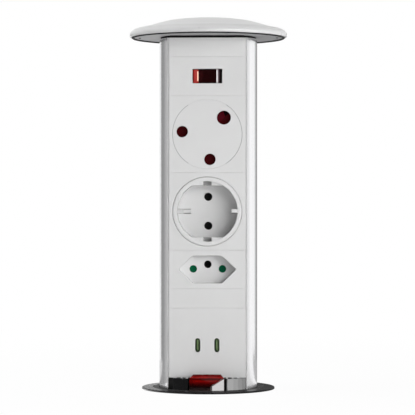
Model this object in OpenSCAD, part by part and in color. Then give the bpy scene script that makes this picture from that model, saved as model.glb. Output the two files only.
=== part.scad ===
// Pop-up desk socket: a round aluminium tower that is pulled up out of a desk through a flanged
// collar, with plug-in modules down its flat front and a cap that closes the hole.
// Frame: origin on the tower's axis at the desk top, +Z up, the sockets face -Y, in millimetres.
// The tower is drawn raised and locked.

/* [Tower] */
// Outer radius of the round aluminium profile
tower_r = 32; // [31.5:0.5:34]
// Wall of the aluminium profile
profile_wall = 2.2; // [1.8:0.1:2.6]
// Aluminium edge left showing beside the module plates
lip_w = 0.8; // [0.6:0.1:1.2]
// Thickness of the rails that the plates seat on
rail_t = 1.8; // [1.4:0.1:2.2]
// Width of those rails behind the plate edges
rail_w = 1.2; // [1:0.1:1.4]
// Outer radius of the screw channels inside the profile
channel_r = 3.2; // [3:0.1:3.6]
// Radius of the hole in each screw channel
channel_hole_r = 1.35; // [1.3:0.05:1.5]
// Width of the key groove down the tower's back
key_w = 6; // [5:0.5:8]
// Depth of the key groove
key_d = 2.2; // [1.8:0.1:2.6]

/* [Module plates] */
// Width of the module plates
plate_w = 50; // [49:0.5:51]
// Thickness of the module plates
plate_t = 2.5; // [2:0.1:3]
// Height of one module unit
unit_h = 12.5; // [12.5:0.25:14]
// Seam between two plates
plate_gap = 0.16; // [0.12:0.02:0.3]
// Chamfer along the plates' upright front edges
plate_chamfer = 0.3; // [0.2:0.05:0.5]
// Height of the lowest module's bottom edge above the desk
stack_z = 3.5; // [3:0.5:6]
// Thickness of the snap tabs behind the plates
tab_t = 1.3; // [1:0.1:1.5]
// Length of a snap tab along the tower
tab_len = 8; // [6:0.5:9]
// Depth of the hook on a snap tab
tab_hook = 1.4; // [1.2:0.1:1.8]
// Distance of the tabs' middles from a tall plate's ends
tab_inset = 6; // [5:0.5:7]

/* [Round inserts] */
// Plate left beside the round socket inserts
insert_side = 2.5; // [2.3:0.1:3]
// Depth of the inserts' rims
insert_t = 4.5; // [4.3:0.1:5]
// Width of the flange that holds an insert behind its plate
insert_lap = 1; // [0.8:0.1:1.1]

/* [Type M socket] */
// Distance between the line and neutral pins
m_pin_gap = 25.4; // [25:0.1:26]
// Distance of the earth pin from the line between the other two
m_earth_gap = 25.5; // [25:0.1:29]
// Radius of the line and neutral pins
m_pin_r = 3.55; // [3.4:0.05:3.6]
// Radius of the earth pin
m_earth_r = 4.36; // [4.2:0.02:4.4]
// Room around a pin in the insert's holes
m_pin_play = 0.2; // [0.1:0.05:0.3]
// Turn of the pin pattern from upright
m_angle = 45; // [40:1:50]
// How far the pin pattern sits off the insert's middle, away from the earth pin
m_off = 0.8; // [0:0.1:1]
// How far the closed shutter laps over beside the earth hole
m_cover = 0.8; // [0.6:0.1:1]
// Radius of the shutter's pivot
m_pivot_r = 3; // [2.5:0.1:3.5]
// Length of the line and neutral contact sleeves
m_contact_len = 15; // [12:0.5:16]
// Length of the earth contact sleeve
m_earth_len = 24; // [22:0.5:26]
// Radius of the shutter's torsion spring
m_spring_r = 4.4; // [4.3:0.1:4.8]

/* [Type F socket] */
// Width of the flat rim round the recess
f_rim_w = 2.9; // [2.7:0.1:3.1]
// Depth of the recess
f_recess_d = 17.5; // [17:0.1:18]
// Wall of the recess cup
f_wall = 2; // [1.8:0.1:2.2]
// Floor of the recess cup
f_floor = 3; // [2.5:0.1:3.5]
// Distance between the two pins
f_pin_gap = 19; // [18.5:0.1:19.5]
// Radius of the pins
f_pin_r = 2.4; // [2.3:0.05:2.5]
// Room around a pin in the floor's holes
f_pin_play = 0.25; // [0.15:0.05:0.35]
// Distance of the flat ledges from the recess's middle
f_ledge = 16.8; // [16.5:0.1:17.2]
// Depth of the ledges below the plate
f_ledge_d = 1.6; // [1.2:0.1:2]
// Width of the notch in each ledge
f_notch_w = 5.4; // [5:0.1:6]
// Depth of the notch
f_notch_d = 8; // [6:0.5:10]
// Width of the earth clips
f_clip_w = 3; // [2.5:0.1:3.5]
// Thickness of the earth clip's strip
f_clip_t = 0.6; // [0.5:0.05:0.8]
// How far the earth clips stand into the recess
f_clip_in = 3.6; // [3:0.1:4]
// Length of the grooves in the recess's floor under the earth clips
f_groove = 8.2; // [7:0.1:9]
// Depth of those grooves
f_groove_d = 1.2; // [0.8:0.1:1.6]
// Depth of the rear housing
f_rear_d = 11; // [10:0.5:12]

/* [Type N socket] */
// Half length of the six-sided recess, middle to point
n_len = 19; // [18.6:0.1:19.2]
// Half length of its straight top and bottom edges
n_flat = 9.5; // [9:0.1:10]
// Half height of the recess
n_half_h = 9; // [8.6:0.1:9.2]
// Corner rounding of the recess
n_corner_r = 1.2; // [0.8:0.1:1.5]
// Depth of the recess
n_depth = 10; // [9.5:0.1:10.5]
// Wall of the recess cup
n_wall = 1.3; // [1.1:0.1:1.4]
// Floor of the recess cup
n_floor = 1.6; // [1.4:0.1:2]
// Distance between the line and neutral pins
n_pin_gap = 19; // [18.5:0.1:19.5]
// Height of the earth pin above the other two
n_earth_up = 3; // [2.8:0.1:3.2]
// Radius of the pins
n_pin_r = 2.25; // [2.2:0.05:2.4]
// Room around a pin in the floor's holes
n_pin_play = 0.2; // [0.1:0.05:0.25]
// Travel that opens the shutter
n_travel = 5.8; // [5.7:0.1:6]
// Half width of the rear housing
n_rear_w = 16; // [15.5:0.5:18]
// Half height of the rear housing
n_rear_h = 10.8; // [10.6:0.1:11.2]
// Depth of the rear housing
n_rear_d = 15; // [14:0.5:17]
// Length of the contact sleeves
n_contact_len = 11; // [9:0.5:11.5]
// Radius of the shutter's compression spring
n_spring_r = 0.8; // [0.7:0.05:0.85]

/* [Shutters and contacts] */
// Thickness of the shutters
shutter_t = 2; // [1.8:0.1:2.4]
// Gap on each side of a shutter
shutter_gap = 0.2; // [0.15:0.05:0.3]
// Wall of the contact sleeves
contact_wall = 0.8; // [0.6:0.1:1]
// Plastic left around a contact sleeve
contact_cover = 1.2; // [1:0.1:1.4]
// Radius of the shutter springs' wire
wire_r = 0.22; // [0.18:0.02:0.25]

/* [Switch] */
// Width of the opening for the rocker
switch_w = 19.3; // [19:0.1:20]
// Height of the opening for the rocker
switch_h = 9.4; // [9:0.1:10]
// Gap above and below the rocker
rocker_gap = 0.25; // [0.2:0.05:0.4]
// Room at each end of the rocker for its swing
rocker_room = 0.65; // [0.6:0.05:0.9]
// Tilt of the rocker each way
rocker_tilt = 8; // [6:0.5:8]
// Depth of the rocker's pivot behind the plate's face
rocker_pivot_d = 4.6; // [4.4:0.1:5.2]
// Half width of the rocker's middle, between its two ridges
rocker_flat = 6.1; // [5.5:0.1:6.5]
// Hollow in the middle of the rocker's face
rocker_dip = 0.35; // [0.2:0.05:0.6]
// Depth of the ridges behind the plate's face when level
rocker_set = 0.4; // [0.2:0.1:0.6]
// How far the rocker's ends fall away from the ridges
rocker_slope = 1.6; // [1.2:0.1:2]
// Radius of the rocker's trunnions
trunnion_r = 1; // [0.8:0.1:1.2]
// Wall of the switch housing
switch_wall = 1.6; // [1.4:0.1:2]
// Depth of the switch housing
switch_d = 14; // [13.5:0.5:16]
// Radius of the lamp behind the rocker
lamp_r = 1.3; // [1:0.1:1.4]

/* [USB ports] */
// Distance between the two ports
usb_gap = 12.4; // [11:0.1:14]
// Height of the ports above the plate's middle
usb_up = 1; // [0:0.5:2]
// Long side of a port's shell
usb_long = 8.9; // [8.8:0.02:9]
// Short side of a port's shell
usb_short = 3.1; // [3:0.02:3.2]
// Wall of the shell
usb_shell_t = 0.3; // [0.25:0.05:0.35]
// Length of the shell
usb_shell_d = 7.6; // [7:0.1:8.4]
// How far the shell stands back from the plate's face
usb_set = 0.3; // [0.2:0.1:0.6]
// Length of the tongue's wide side
tongue_w = 6.5; // [6.2:0.1:6.7]
// Thickness of the tongue
tongue_t = 0.7; // [0.6:0.05:0.8]
// How far the tongue stands back from the shell's mouth
tongue_set = 0.7; // [0.5:0.1:1]
// Width and height of the circuit board
board_w = 42; // [40:0.5:43]
// Thickness of the circuit board
board_t = 1.6; // [1:0.1:2]
// Depth of the tray behind the board
tray_d = 14; // [10:0.5:18]
// Wall of the tray
tray_wall = 1.5; // [1.2:0.1:2]

/* [Cap] */
// How far the cap reaches past the flange
cap_overhang = 8.2; // [7:0.1:9]
// Height of the cap's crown above its rim
crown_h = 12.8; // [12:0.1:14]
// Height of the outer ring where the rim's rounding starts
ring_h = 5.9; // [5.4:0.1:6.4]
// Rise of the outer ring towards the middle
ring_rise = 5.5; // [5:0.1:6]
// Width of the rim's rounding
rim_w = 6.7; // [6:0.1:7.4]
// Height of the rim's widest line
rim_h = 1.5; // [1.2:0.1:2]
// Width of the rounding under the rim
rim_under = 0.9; // [0.7:0.1:1.2]
// Radius where the raised middle starts to fall
crown_r = 24; // [20:0.5:26]
// Radius where the raised middle has run out
crown_foot_r = 44.5; // [40:0.5:44.5]
// Wall of the cap shell
cap_wall = 1.8; // [1.6:0.1:2.2]
// Thickness of the cap's base plate
cap_base_t = 2.2; // [2:0.1:2.6]
// Width of the ring seal between the shell and the base plate
seal_w = 1.4; // [1.2:0.1:1.8]
// How far the ring seal stands out below the rim
seal_out = 0.8; // [0.6:0.1:1.2]

/* [Head and base] */
// Height of the dark spacer between tower and cap
head_t = 1.2; // [1:0.1:2]
// How far the spacer is set in from the tower's outline
head_inset = 0.8; // [0.5:0.1:1.2]
// Height of the spigots at both ends of the profile
spigot_h = 6; // [4:0.5:8]
// Thickness of the base plate
base_t = 5.5; // [4.5:0.5:7]
// How far the base plate catches under the guide sleeve
stop_lap = 1.7; // [1.4:0.1:2]
// Gap left at that stop
stop_gap = 0.3; // [0.2:0.05:0.4]
// Radius of the screws' shanks
screw_r = 1.25; // [1.15:0.05:1.25]
// Radius of the screw heads
screw_head_r = 2.6; // [2.4:0.1:2.8]
// Height of the screw heads
screw_head_h = 1.8; // [1.5:0.1:2]
// Length of screw in the profile
screw_bite = 12; // [10:1:16]

/* [Cable gland] */
// Radius of the cable that the gland takes
cable_r = 4; // [3.5:0.1:4.2]
// Room around the cable
cable_play = 0.3; // [0.2:0.05:0.4]
// Radius of the gland's threaded shank
gland_r = 8; // [7.5:0.5:8.5]
// Corner radius of the gland's hexagons
gland_hex_r = 11.5; // [11:0.5:12.5]
// Height of the gland's body below the base
gland_body_h = 6; // [5:0.5:8]
// Height of the gland's dome nut
gland_nut_h = 14; // [12:0.5:16]
// Height of the lock nut inside the tower
lock_nut_h = 4; // [3:0.5:5]

/* [Foot and release] */
// Height of the foot block above the desk
foot_top = 8.7; // [7:0.1:10]
// Lean of the foot block's round front from upright
foot_draft = 4; // [3:0.5:5]
// Width of the release latch
latch_w = 22.4; // [20:0.2:23]
// Gap on each side of the latch
latch_gap = 0.9; // [0.6:0.1:1.2]
// Height of the latch's top above the desk
latch_top = 11.2; // [10.5:0.1:12]
// Room left behind the latch when it is pressed
latch_play = 1.8; // [1.6:0.1:2.2]
// Swing of the latch
latch_swing = 5; // [3:0.5:5]
// Depth of the latch's pivot below the desk
latch_pivot_deep = 32; // [30:1:36]
// Height where the slanted finger face meets the round front
finger_z = 4; // [3:0.1:5]
// Lean of the finger face from upright
finger_lean = 20; // [16:1:24]
// Height of the bevel along the latch's top
latch_bevel_h = 2.2; // [1.6:0.1:2.8]
// Depth of that bevel
latch_bevel_d = 2.6; // [2:0.1:3.2]
// Cut at the latch's top corners
latch_corner = 2.3; // [1.8:0.1:2.8]
// Depth of the latch's head below the desk
latch_head_deep = 3; // [2:0.5:5]
// Width of the latch's shank
shank_w = 11; // [9:0.5:12]
// Thickness of the latch's shank
shank_t = 4.6; // [4.2:0.1:5]
// Radius of the latch's pin
pin_r = 1.25; // [1:0.05:1.4]
// Running room around the pin
pin_play = 0.05; // [0.04:0.01:0.08]
// How far the pin is held in each side of the foot block
pin_grip = 2.2; // [1.8:0.1:2.4]
// Depth of the catch teeth below the desk
tooth_deep = 9; // [8:0.5:12]
// Width of each catch tooth
tooth_w = 3.5; // [2.5:0.1:3.8]
// Thickness of the catch's spring strip
catch_t = 0.6; // [0.4:0.05:0.8]
// Room around a tooth in its window
tooth_room = 0.6; // [0.4:0.1:1]
// Width of the vent slots on top of the foot block
vent_w = 2.2; // [1.6:0.1:2.6]

/* [Desk mounting] */
// Gap between the tower and the guide sleeve
slide_gap = 0.4; // [0.3:0.05:0.5]
// Wall of the guide sleeve
sleeve_wall = 2.5; // [2.2:0.1:3]
// Lip that hangs the sleeve in the collar
sleeve_lip = 1.3; // [1:0.1:1.6]
// Thickness of that lip
sleeve_lip_t = 0.9; // [0.7:0.1:1]
// Wall of the collar
collar_wall = 4.5; // [4:0.1:5]
// Length of the collar below the desk top
collar_len = 60; // [58:1:80]
// Length of the plain register under the flange
register_len = 8; // [5:0.5:10]
// Depth of the thread below the register
thread_cut = 0.5; // [0.4:0.1:0.8]
// Width of the flange beyond the collar
flange_lap = 3.9; // [3.5:0.1:5]
// Thickness of the flange
flange_t = 1.2; // [1.1:0.1:2]
// Bevel on the flange's edge
flange_bevel = 0.4; // [0.2:0.1:0.6]
// Width of the seal under the flange
flange_seal_w = 1.5; // [1.2:0.1:1.8]
// Height of the seal under the flange
flange_seal_h = 0.6; // [0.4:0.1:0.7]
// Thickness of the desk at which the clamp is drawn
desk_t = 25; // [12:1:40]
// Thickness of the clamp washer
washer_t = 2; // [1.5:0.1:3]
// Height of the clamp nut
nut_h = 14; // [10:1:16]
// Wall of the clamp nut
nut_wall = 9; // [7:0.5:12]
// Radius of the finger scallops round the clamp nut
scallop_r = 6; // [4:0.5:7]
// Number of scallops
scallops = 12; // [8:1:16]
// Running room between the nut and the thread
thread_gap = 0.3; // [0.25:0.05:0.4]

/* [Bus bars] */
// Width of a bus bar
bar_w = 1.4; // [1:0.1:1.6]
// Depth of a bus bar
bar_d = 3.4; // [2.6:0.1:4]
// Distance between the bars
bar_gap = 4.4; // [4:0.1:4.6]
// Depth of the carrier
carrier_d = 5; // [4.5:0.1:6]

/* [Fits] */
// Clearance between fixed pieces
fit = 0.1; // [0.08:0.02:0.15]

/* [Hidden] */
$fn = 96;

aluminium = [0.78, 0.79, 0.80];
pale_plastic = [0.84, 0.84, 0.84];
satin_silver = [0.80, 0.80, 0.80];
grey_plastic = [0.62, 0.62, 0.63];
black_plastic = [0.09, 0.09, 0.10];
dark_metal = [0.30, 0.30, 0.32];
rubber = [0.07, 0.07, 0.07];
clear_red = [0.62, 0.05, 0.05];
green_plastic = [0.13, 0.42, 0.24];
steel = [0.72, 0.72, 0.74];
brass = [0.78, 0.62, 0.32];
copper = [0.80, 0.48, 0.30];
white_plastic = [0.92, 0.92, 0.90];
glass = [0.90, 0.75, 0.65];

// Module stack, from the bottom up, in units
UNITS = [4, 1, 2, 4, 4, 2, 1];
USB = 0;
LOWER_BLANK = 1;
TYPE_N = 2;
TYPE_F = 3;
TYPE_M = 4;
SWITCH = 5;
UPPER_BLANK = 6;
function units_below(i) = i < 1 ? 0 : UNITS[i - 1] + units_below(i - 1);
function bottom(i) = stack_z + unit_h * units_below(i);
function middle(i) = bottom(i) + unit_h * UNITS[i] / 2;
stack_top = bottom(len(UNITS));

// Tower section
edge_x = plate_w / 2 + lip_w;
front_y = -sqrt(tower_r * tower_r - edge_x * edge_x);
rail_x = plate_w / 2 - rail_w;
rail_back = plate_t + rail_t;
tab_back = rail_back + fit + tab_hook;
tab_nose = 0.7 * rail_w;
root_lap = 0.2;
channel_ring = tower_r - profile_wall - channel_r + 1;
CHANNEL_ANGLES = [38, 64, 116, 142];
key_floor = tower_r - key_d;
key_boss = key_floor - profile_wall;
spigot_r = channel_ring - channel_r - 2 * fit;
spigot_front = front_y + tab_back + 1;

// Desk mounting
bore_r = tower_r + slide_gap;
sleeve_r = bore_r + sleeve_wall;
collar_bore = sleeve_r + fit;
collar_r = collar_bore + collar_wall;
thread_r = collar_r - thread_cut;
flange_r = collar_r + flange_lap;
seal_mid = collar_r + flange_lap * 0.5;
nut_bore = thread_r + thread_gap;
nut_r = nut_bore + nut_wall;
base_top = -collar_len - stop_gap;

// Cap
cap_z = stack_top + head_t;
cap_r = flange_r + cap_overhang;
rim_land = 0.5;
cap_inner_r = cap_r - rim_under - rim_land;
cap_base_r = cap_inner_r - seal_w - 2 * fit;
dome_r = cap_r - rim_w;

// Round inserts
insert_r = min(plate_w, unit_h * UNITS[TYPE_M]) / 2 - insert_side;

// Type M: the three holes lie on one circle, so one turning shutter covers them
m_circle = (m_earth_gap * m_earth_gap + m_pin_gap * m_pin_gap / 4) / (2 * m_earth_gap);
m_spread = acos((m_circle - m_earth_gap) / m_circle);
m_web = 0.8;
m_ring = min(m_circle, insert_r - m_earth_r - m_pin_play - m_web);
M_PINS = [
    [m_angle, m_earth_r, m_earth_len],
    [m_angle + m_spread, m_pin_r, m_contact_len],
    [m_angle - m_spread, m_pin_r, m_contact_len]];
window_more = 0.15;
m_turn = 2 * asin((2 * (m_earth_r + m_pin_play) + window_more + m_cover) / (2 * m_ring));
shutter_edge = 0.6;
m_shutter_r = m_ring + m_earth_r + m_pin_play + shutter_edge;
m_shutter_d = insert_t + shutter_gap;
m_floor_d = m_shutter_d + shutter_t + shutter_gap;
m_spring_turns = 3;
m_spring_pitch = 1.1;
spring_room = 0.4;
m_pocket_d = m_spring_turns * m_spring_pitch + 2 * wire_r + spring_room;
m_pocket_floor = 1;
m_base_d = m_pocket_d + m_pocket_floor;
m_housing_wall = 0.9;
m_housing_r = m_shutter_r + shutter_gap + m_housing_wall;

// Type F
f_recess_r = insert_r - f_rim_w;
f_back = f_recess_d + f_floor;
f_rear_r = f_recess_r + f_wall;
f_clip_x = f_recess_r + f_clip_t;

// Type N
n_back = n_depth + n_floor;
n_shutter_d = n_back + shutter_gap;
n_chamber_d = n_shutter_d + shutter_t + shutter_gap;
n_hole_r = n_pin_r + n_pin_play;
n_pad_lap = 0.5;
n_pad = n_hole_r + n_pad_lap;
n_spring_low = 1;
n_chamber_low = n_pad + n_travel + n_spring_low;
n_bridge_gap = 0.7;
n_bridge_top = n_earth_up - n_hole_r - n_bridge_gap;
N_PINS = [[-n_pin_gap / 2, 0], [n_pin_gap / 2, 0], [0, n_earth_up]];
slant = [n_len - n_flat, -n_half_h];
slant_out = [n_half_h, n_len - n_flat] / norm(slant);
n_tip_x = n_len - n_corner_r / slant_out[0];
n_corner_y = n_half_h - n_corner_r;
n_corner_x = n_len - (n_corner_r + n_corner_y * slant_out[1]) / slant_out[0];
N_CENTRES = [[n_tip_x, 0], [n_corner_x, n_corner_y], [-n_corner_x, n_corner_y],
    [-n_tip_x, 0], [-n_corner_x, -n_corner_y], [n_corner_x, -n_corner_y]];

// USB
usb_z = middle(USB) + usb_up;
board_d = usb_set + usb_shell_d + fit;
board_x = board_w / 2;
post_r = 2.4;
post_side = 1;
post_x = board_x - post_r - post_side;
plug_d = 1.4;

// Foot and release
latch_room = (latch_top + latch_pivot_deep) * sin(latch_swing) + latch_play;
latch_pivot_z = -latch_pivot_deep;
pocket_x = latch_w / 2 + latch_gap;
pin_half = pocket_x + pin_grip;
pin_cover = 0.25;
pin_front = pin_r + pin_cover - sqrt(tower_r * tower_r - pin_half * pin_half);
latch_pivot_y = max(front_y - latch_room - shank_t / 2, pin_front);
latch_back = latch_pivot_y + shank_t / 2;
pocket_low = 6;
pocket_z = latch_pivot_z - pocket_low;
finger_y = -tower_r;
finger_slope = tan(finger_lean);
bevel_z = latch_top - latch_bevel_h;
bevel_y = finger_y + (bevel_z - finger_z) * finger_slope;
tooth_side = 0.9;
tooth_set = 0.2;
tooth_x = pocket_x - tooth_side - tooth_w;
tooth_tip = -sqrt(pow(sleeve_r - tooth_set, 2) - pow(tooth_x + tooth_w, 2));
leaf_gap = 0.3;
leaf_y = latch_back + leaf_gap;
leaf_foot = shank_t;
foot_screw_side = 8;
foot_screw_x = plate_w / 2 - foot_screw_side;
foot_screw_deep = 3.4;
foot_screw_y = front_y - foot_screw_deep;

// Bus bars
carrier_side = 1.2;
carrier_x = bar_gap + bar_w / 2 + carrier_side;
carrier_back = key_boss - fit;
carrier_front = carrier_back - carrier_d;
bar_low = latch_pivot_z;
bar_high = middle(SWITCH);

// Places children in front of the panel: x to the right, y up, z into the tower
module front_frame(z) {
    translate([0, front_y, z])
        rotate([-90, 0, 0])
            mirror([0, 1, 0])
                children();
}

// Places children on a circle
module at_polar(r, angle) {
    translate([r * cos(angle), r * sin(angle), 0])
        children();
}

// A tube along z
module tube(outer, inner, h) {
    difference() {
        cylinder(r = outer, h = h);
        translate([0, 0, -1])
            cylinder(r = inner, h = h + 2);
    }
}

// Outline of a convex shape with round corners, from its corner circles in turn
function heading(a, b) = atan2(b[1] - a[1], b[0] - a[0]);
function sweep_of(a, b) = (b - a + 720) % 360;
function round_outline(c, r, steps = 6) = [
    for (i = [0 : len(c) - 1])
        let (before = c[(i + len(c) - 1) % len(c)], after = c[(i + 1) % len(c)])
        let (start = heading(before, c[i]) - 90)
        let (turn = sweep_of(heading(before, c[i]), heading(c[i], after)))
        for (k = [0 : steps])
            c[i] + r * [cos(start + turn * k / steps), sin(start + turn * k / steps)]];

// A bent strip of even thickness through a list of points, with mitred bends
function side_of(a, b) = [a[1] - b[1], b[0] - a[0]] / norm(b - a);
function mitre(p, i) =
    i == 0 ? side_of(p[0], p[1]) :
    i == len(p) - 1 ? side_of(p[i - 1], p[i]) :
    let (m = side_of(p[i - 1], p[i]) + side_of(p[i], p[i + 1]))
    2 * m / (m * m);
module strip_2d(points, t) {
    last = len(points) - 1;
    polygon(concat(
        [for (i = [0 : last]) points[i] + t / 2 * mitre(points, i)],
        [for (i = [last : -1 : 0]) points[i] - t / 2 * mitre(points, i)]));
}

// A coil spring of round wire along z, as one unbroken tube
coil_rings = 8;
coil_sides = 6;
function coil_point(r, pitch, turn, side) =
    let (a = 360 * turn, b = 360 * side / coil_sides)
    let (out = [cos(a), sin(a), 0], along = [-r * sin(a), r * cos(a), pitch / (2 * PI)])
    let (across = cross(along, out) / norm(along))
    [r * cos(a), r * sin(a), pitch * turn] + wire_r * (cos(b) * out + sin(b) * across);
module coil(r, pitch, turns) {
    rings = coil_rings * turns;
    points = [for (i = [0 : rings]) for (s = [0 : coil_sides - 1])
        coil_point(r, pitch, i / coil_rings, s)];
    walls = [for (i = [0 : rings - 1]) for (s = [0 : coil_sides - 1])
        let (a = i * coil_sides + s, b = i * coil_sides + (s + 1) % coil_sides)
        for (face = [[a, a + coil_sides, b], [b, a + coil_sides, b + coil_sides]]) face];
    low = [for (s = [1 : coil_sides - 2]) [0, s, s + 1]];
    top = rings * coil_sides;
    high = [for (s = [1 : coil_sides - 2]) [top, top + s + 1, top + s]];
    echo(least_coil_gap = pitch - 2 * wire_r);
    polyhedron(points = points, faces = concat(walls, low, high));
}

// Tower outline: a circle with a flat front
module tower_outline_2d(inset = 0) {
    difference() {
        circle(r = tower_r - inset);
        translate([-2 * tower_r, -3 * tower_r + front_y + inset])
            square([4 * tower_r, 3 * tower_r]);
    }
}

// The key groove down the back
module key_2d() {
    translate([-key_w / 2, key_floor])
        square([key_w, key_d + 1]);
}

module profile_2d() {
    difference() {
        union() {
            difference() {
                tower_outline_2d();
                circle(r = tower_r - profile_wall);
            }
            intersection() {
                circle(r = tower_r - profile_wall / 2);
                union() {
                    for (side = [-1, 1])
                        translate([side * (rail_x + tower_r) / 2, front_y + plate_t + rail_t / 2])
                            square([tower_r - rail_x, rail_t], center = true);
                    for (angle = CHANNEL_ANGLES)
                        at_polar(channel_ring, angle)
                            circle(r = channel_r);
                    translate([-key_w / 2 - profile_wall, key_boss])
                        square([key_w + 2 * profile_wall, tower_r - key_boss]);
                }
            }
        }
        translate([-plate_w / 2 - fit, front_y - 1])
            square([plate_w + 2 * fit, plate_t + 1]);
        for (angle = CHANNEL_ANGLES)
            at_polar(channel_ring, angle)
                circle(r = channel_hole_r);
        key_2d();
    }
}

module tower_profile() {
    color(aluminium)
        translate([0, 0, base_top])
            linear_extrude(stack_top - base_top)
                profile_2d();
}

// A spigot that plugs one end of the profile
module spigot(h) {
    intersection() {
        cylinder(r = spigot_r, h = h);
        translate([-tower_r, spigot_front, -1])
            cube([2 * tower_r, 2 * tower_r, h + 2]);
    }
}

module plate_2d() {
    x = plate_w / 2;
    translate([0, front_y])
        polygon([[-x, plate_t], [-x, plate_chamfer], [-x + plate_chamfer, 0],
            [x - plate_chamfer, 0], [x, plate_chamfer], [x, plate_t]]);
}

// Hooks that snap behind the profile's rails
module tabs_2d() {
    outer = rail_x - fit;
    for (side = [0, 1])
        mirror([side, 0])
            translate([0, front_y])
                polygon([[outer - tab_t, plate_t - root_lap], [outer, plate_t - root_lap],
                    [outer, rail_back + fit], [outer + tab_nose, rail_back + fit],
                    [outer, tab_back], [outer - tab_t, tab_back]]);
}

module plain_plate(low, high) {
    h = high - low - plate_gap;
    mid = (low + high) / 2;
    reach = h < 2 * unit_h - 2 * plate_gap ? 0 : h / 2 + plate_gap / 2 - tab_inset;
    translate([0, 0, low + plate_gap / 2])
        linear_extrude(h)
            plate_2d();
    for (z = reach == 0 ? [mid] : [mid - reach, mid + reach])
        translate([0, 0, z - tab_len / 2])
            linear_extrude(tab_len)
                tabs_2d();
}

module module_plate(i) {
    plain_plate(bottom(i), bottom(i) + unit_h * UNITS[i]);
}

module upper_blank_plate() {
    color(pale_plastic)
        module_plate(UPPER_BLANK);
}

module lower_blank_plate() {
    color(pale_plastic)
        module_plate(LOWER_BLANK);
}

// The plate behind the foot block, below the module stack
module lower_plate() {
    color(pale_plastic)
        plain_plate(base_top, stack_z);
}

module switch_plate() {
    color(pale_plastic)
        difference() {
            module_plate(SWITCH);
            front_frame(middle(SWITCH))
                translate([0, 0, plate_t / 2])
                    cube([switch_w, switch_h, plate_t + 2], center = true);
        }
}

module switch_housing() {
    color(black_plastic)
        front_frame(middle(SWITCH))
            difference() {
                translate([-switch_w / 2 - switch_wall, -switch_h / 2 - switch_wall, plate_t])
                    cube([switch_w + 2 * switch_wall, switch_h + 2 * switch_wall, switch_d]);
                translate([-switch_w / 2, -switch_h / 2, 0])
                    cube([switch_w, switch_h, plate_t + switch_d - switch_wall]);
                translate([0, 0, rocker_pivot_d])
                    rotate([90, 0, 0])
                        cylinder(r = trunnion_r + pin_play, h = switch_h + 4 * switch_wall, center = true);
            }
}

// Section of the rocker about its pivot, front towards -y
rocker_x = switch_w / 2 - rocker_room;
rocker_end = rocker_pivot_d - rocker_set;
rocker_back = 2.8;
rocker_waist = 0.8;
rocker_taper = 1;
module rocker_2d() {
    polygon([[-rocker_x, rocker_slope - rocker_end], [-rocker_flat, -rocker_end],
        [0, rocker_dip - rocker_end], [rocker_flat, -rocker_end], [rocker_x, rocker_slope - rocker_end],
        [rocker_x - rocker_taper, rocker_waist], [rocker_x / 3, rocker_back],
        [-rocker_x / 3, rocker_back], [rocker_taper - rocker_x, rocker_waist]]);
}

module switch_rocker() {
    body_h = switch_h - 2 * rocker_gap;
    trunnion_h = switch_h + switch_wall;
    color(clear_red)
        translate([0, front_y + rocker_pivot_d, middle(SWITCH)])
            rotate([0, 0, -rocker_tilt]) {
                translate([0, 0, -body_h / 2])
                    linear_extrude(body_h)
                        rocker_2d();
                cylinder(r = trunnion_r, h = trunnion_h, center = true);
            }
}

module switch_lamp() {
    color(glass)
        front_frame(middle(SWITCH))
            translate([0, 0, plate_t + switch_d - switch_wall - lamp_r - fit])
                rotate([0, 90, 0])
                    cylinder(r = lamp_r, h = switch_w / 2, center = true);
}

module switch_terminals() {
    blade = [4.8, 0.8, 9];
    color(brass)
        front_frame(middle(SWITCH))
            for (x = [-switch_w / 3, 0, switch_w / 3])
                translate([x - blade[0] / 2, -blade[1] / 2, plate_t + switch_d])
                    cube(blade);
}

// A plate with a round hole for a socket insert
module insert_plate(i) {
    color(pale_plastic)
        difference() {
            module_plate(i);
            front_frame(middle(i))
                translate([0, 0, -1])
                    cylinder(r = insert_r + fit, h = plate_t + 2);
        }
}

// The rim of an insert, with the flange that stays behind its plate
module insert_rim() {
    cylinder(r = insert_r, h = insert_t);
    translate([0, 0, plate_t])
        cylinder(r = insert_r + insert_lap, h = insert_t - plate_t);
}

module type_m_plate() {
    insert_plate(TYPE_M);
}

// Places children round the middle of the pin pattern
module type_m_frame() {
    front_frame(middle(TYPE_M))
        at_polar(-m_off, m_angle)
            children();
}

module type_m_insert() {
    color(pale_plastic)
        difference() {
            front_frame(middle(TYPE_M))
                insert_rim();
            type_m_frame()
                for (pin = M_PINS)
                    at_polar(m_ring, pin[0])
                        translate([0, 0, -1])
                            cylinder(r = pin[1] + m_pin_play, h = insert_t + 2);
        }
}

// Turning shutter: its windows wait beside the holes, and the earth pin's ramp turns it
module type_m_shutter() {
    ramp_lean = 16;
    color(clear_red)
        type_m_frame()
            translate([0, 0, m_shutter_d])
                difference() {
                    cylinder(r = m_shutter_r, h = shutter_t);
                    translate([0, 0, -1])
                        cylinder(r = m_pivot_r + fit, h = shutter_t + 2);
                    for (pin = M_PINS)
                        at_polar(m_ring, pin[0] + m_turn)
                            translate([0, 0, -1])
                                cylinder(r = pin[1] + m_pin_play + window_more, h = shutter_t + 2);
                    at_polar(m_ring, m_angle)
                        rotate([0, 0, m_angle])
                            rotate([ramp_lean, 0, 0])
                                translate([-m_earth_r, 0, -shutter_t])
                                    cube([2 * m_earth_r - shutter_edge, m_earth_r, shutter_t]);
                }
}

module type_m_spring() {
    color(steel)
        type_m_frame()
            translate([0, 0, m_floor_d + spring_room / 2 + wire_r])
                coil(m_spring_r, m_spring_pitch, m_spring_turns);
}

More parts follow.
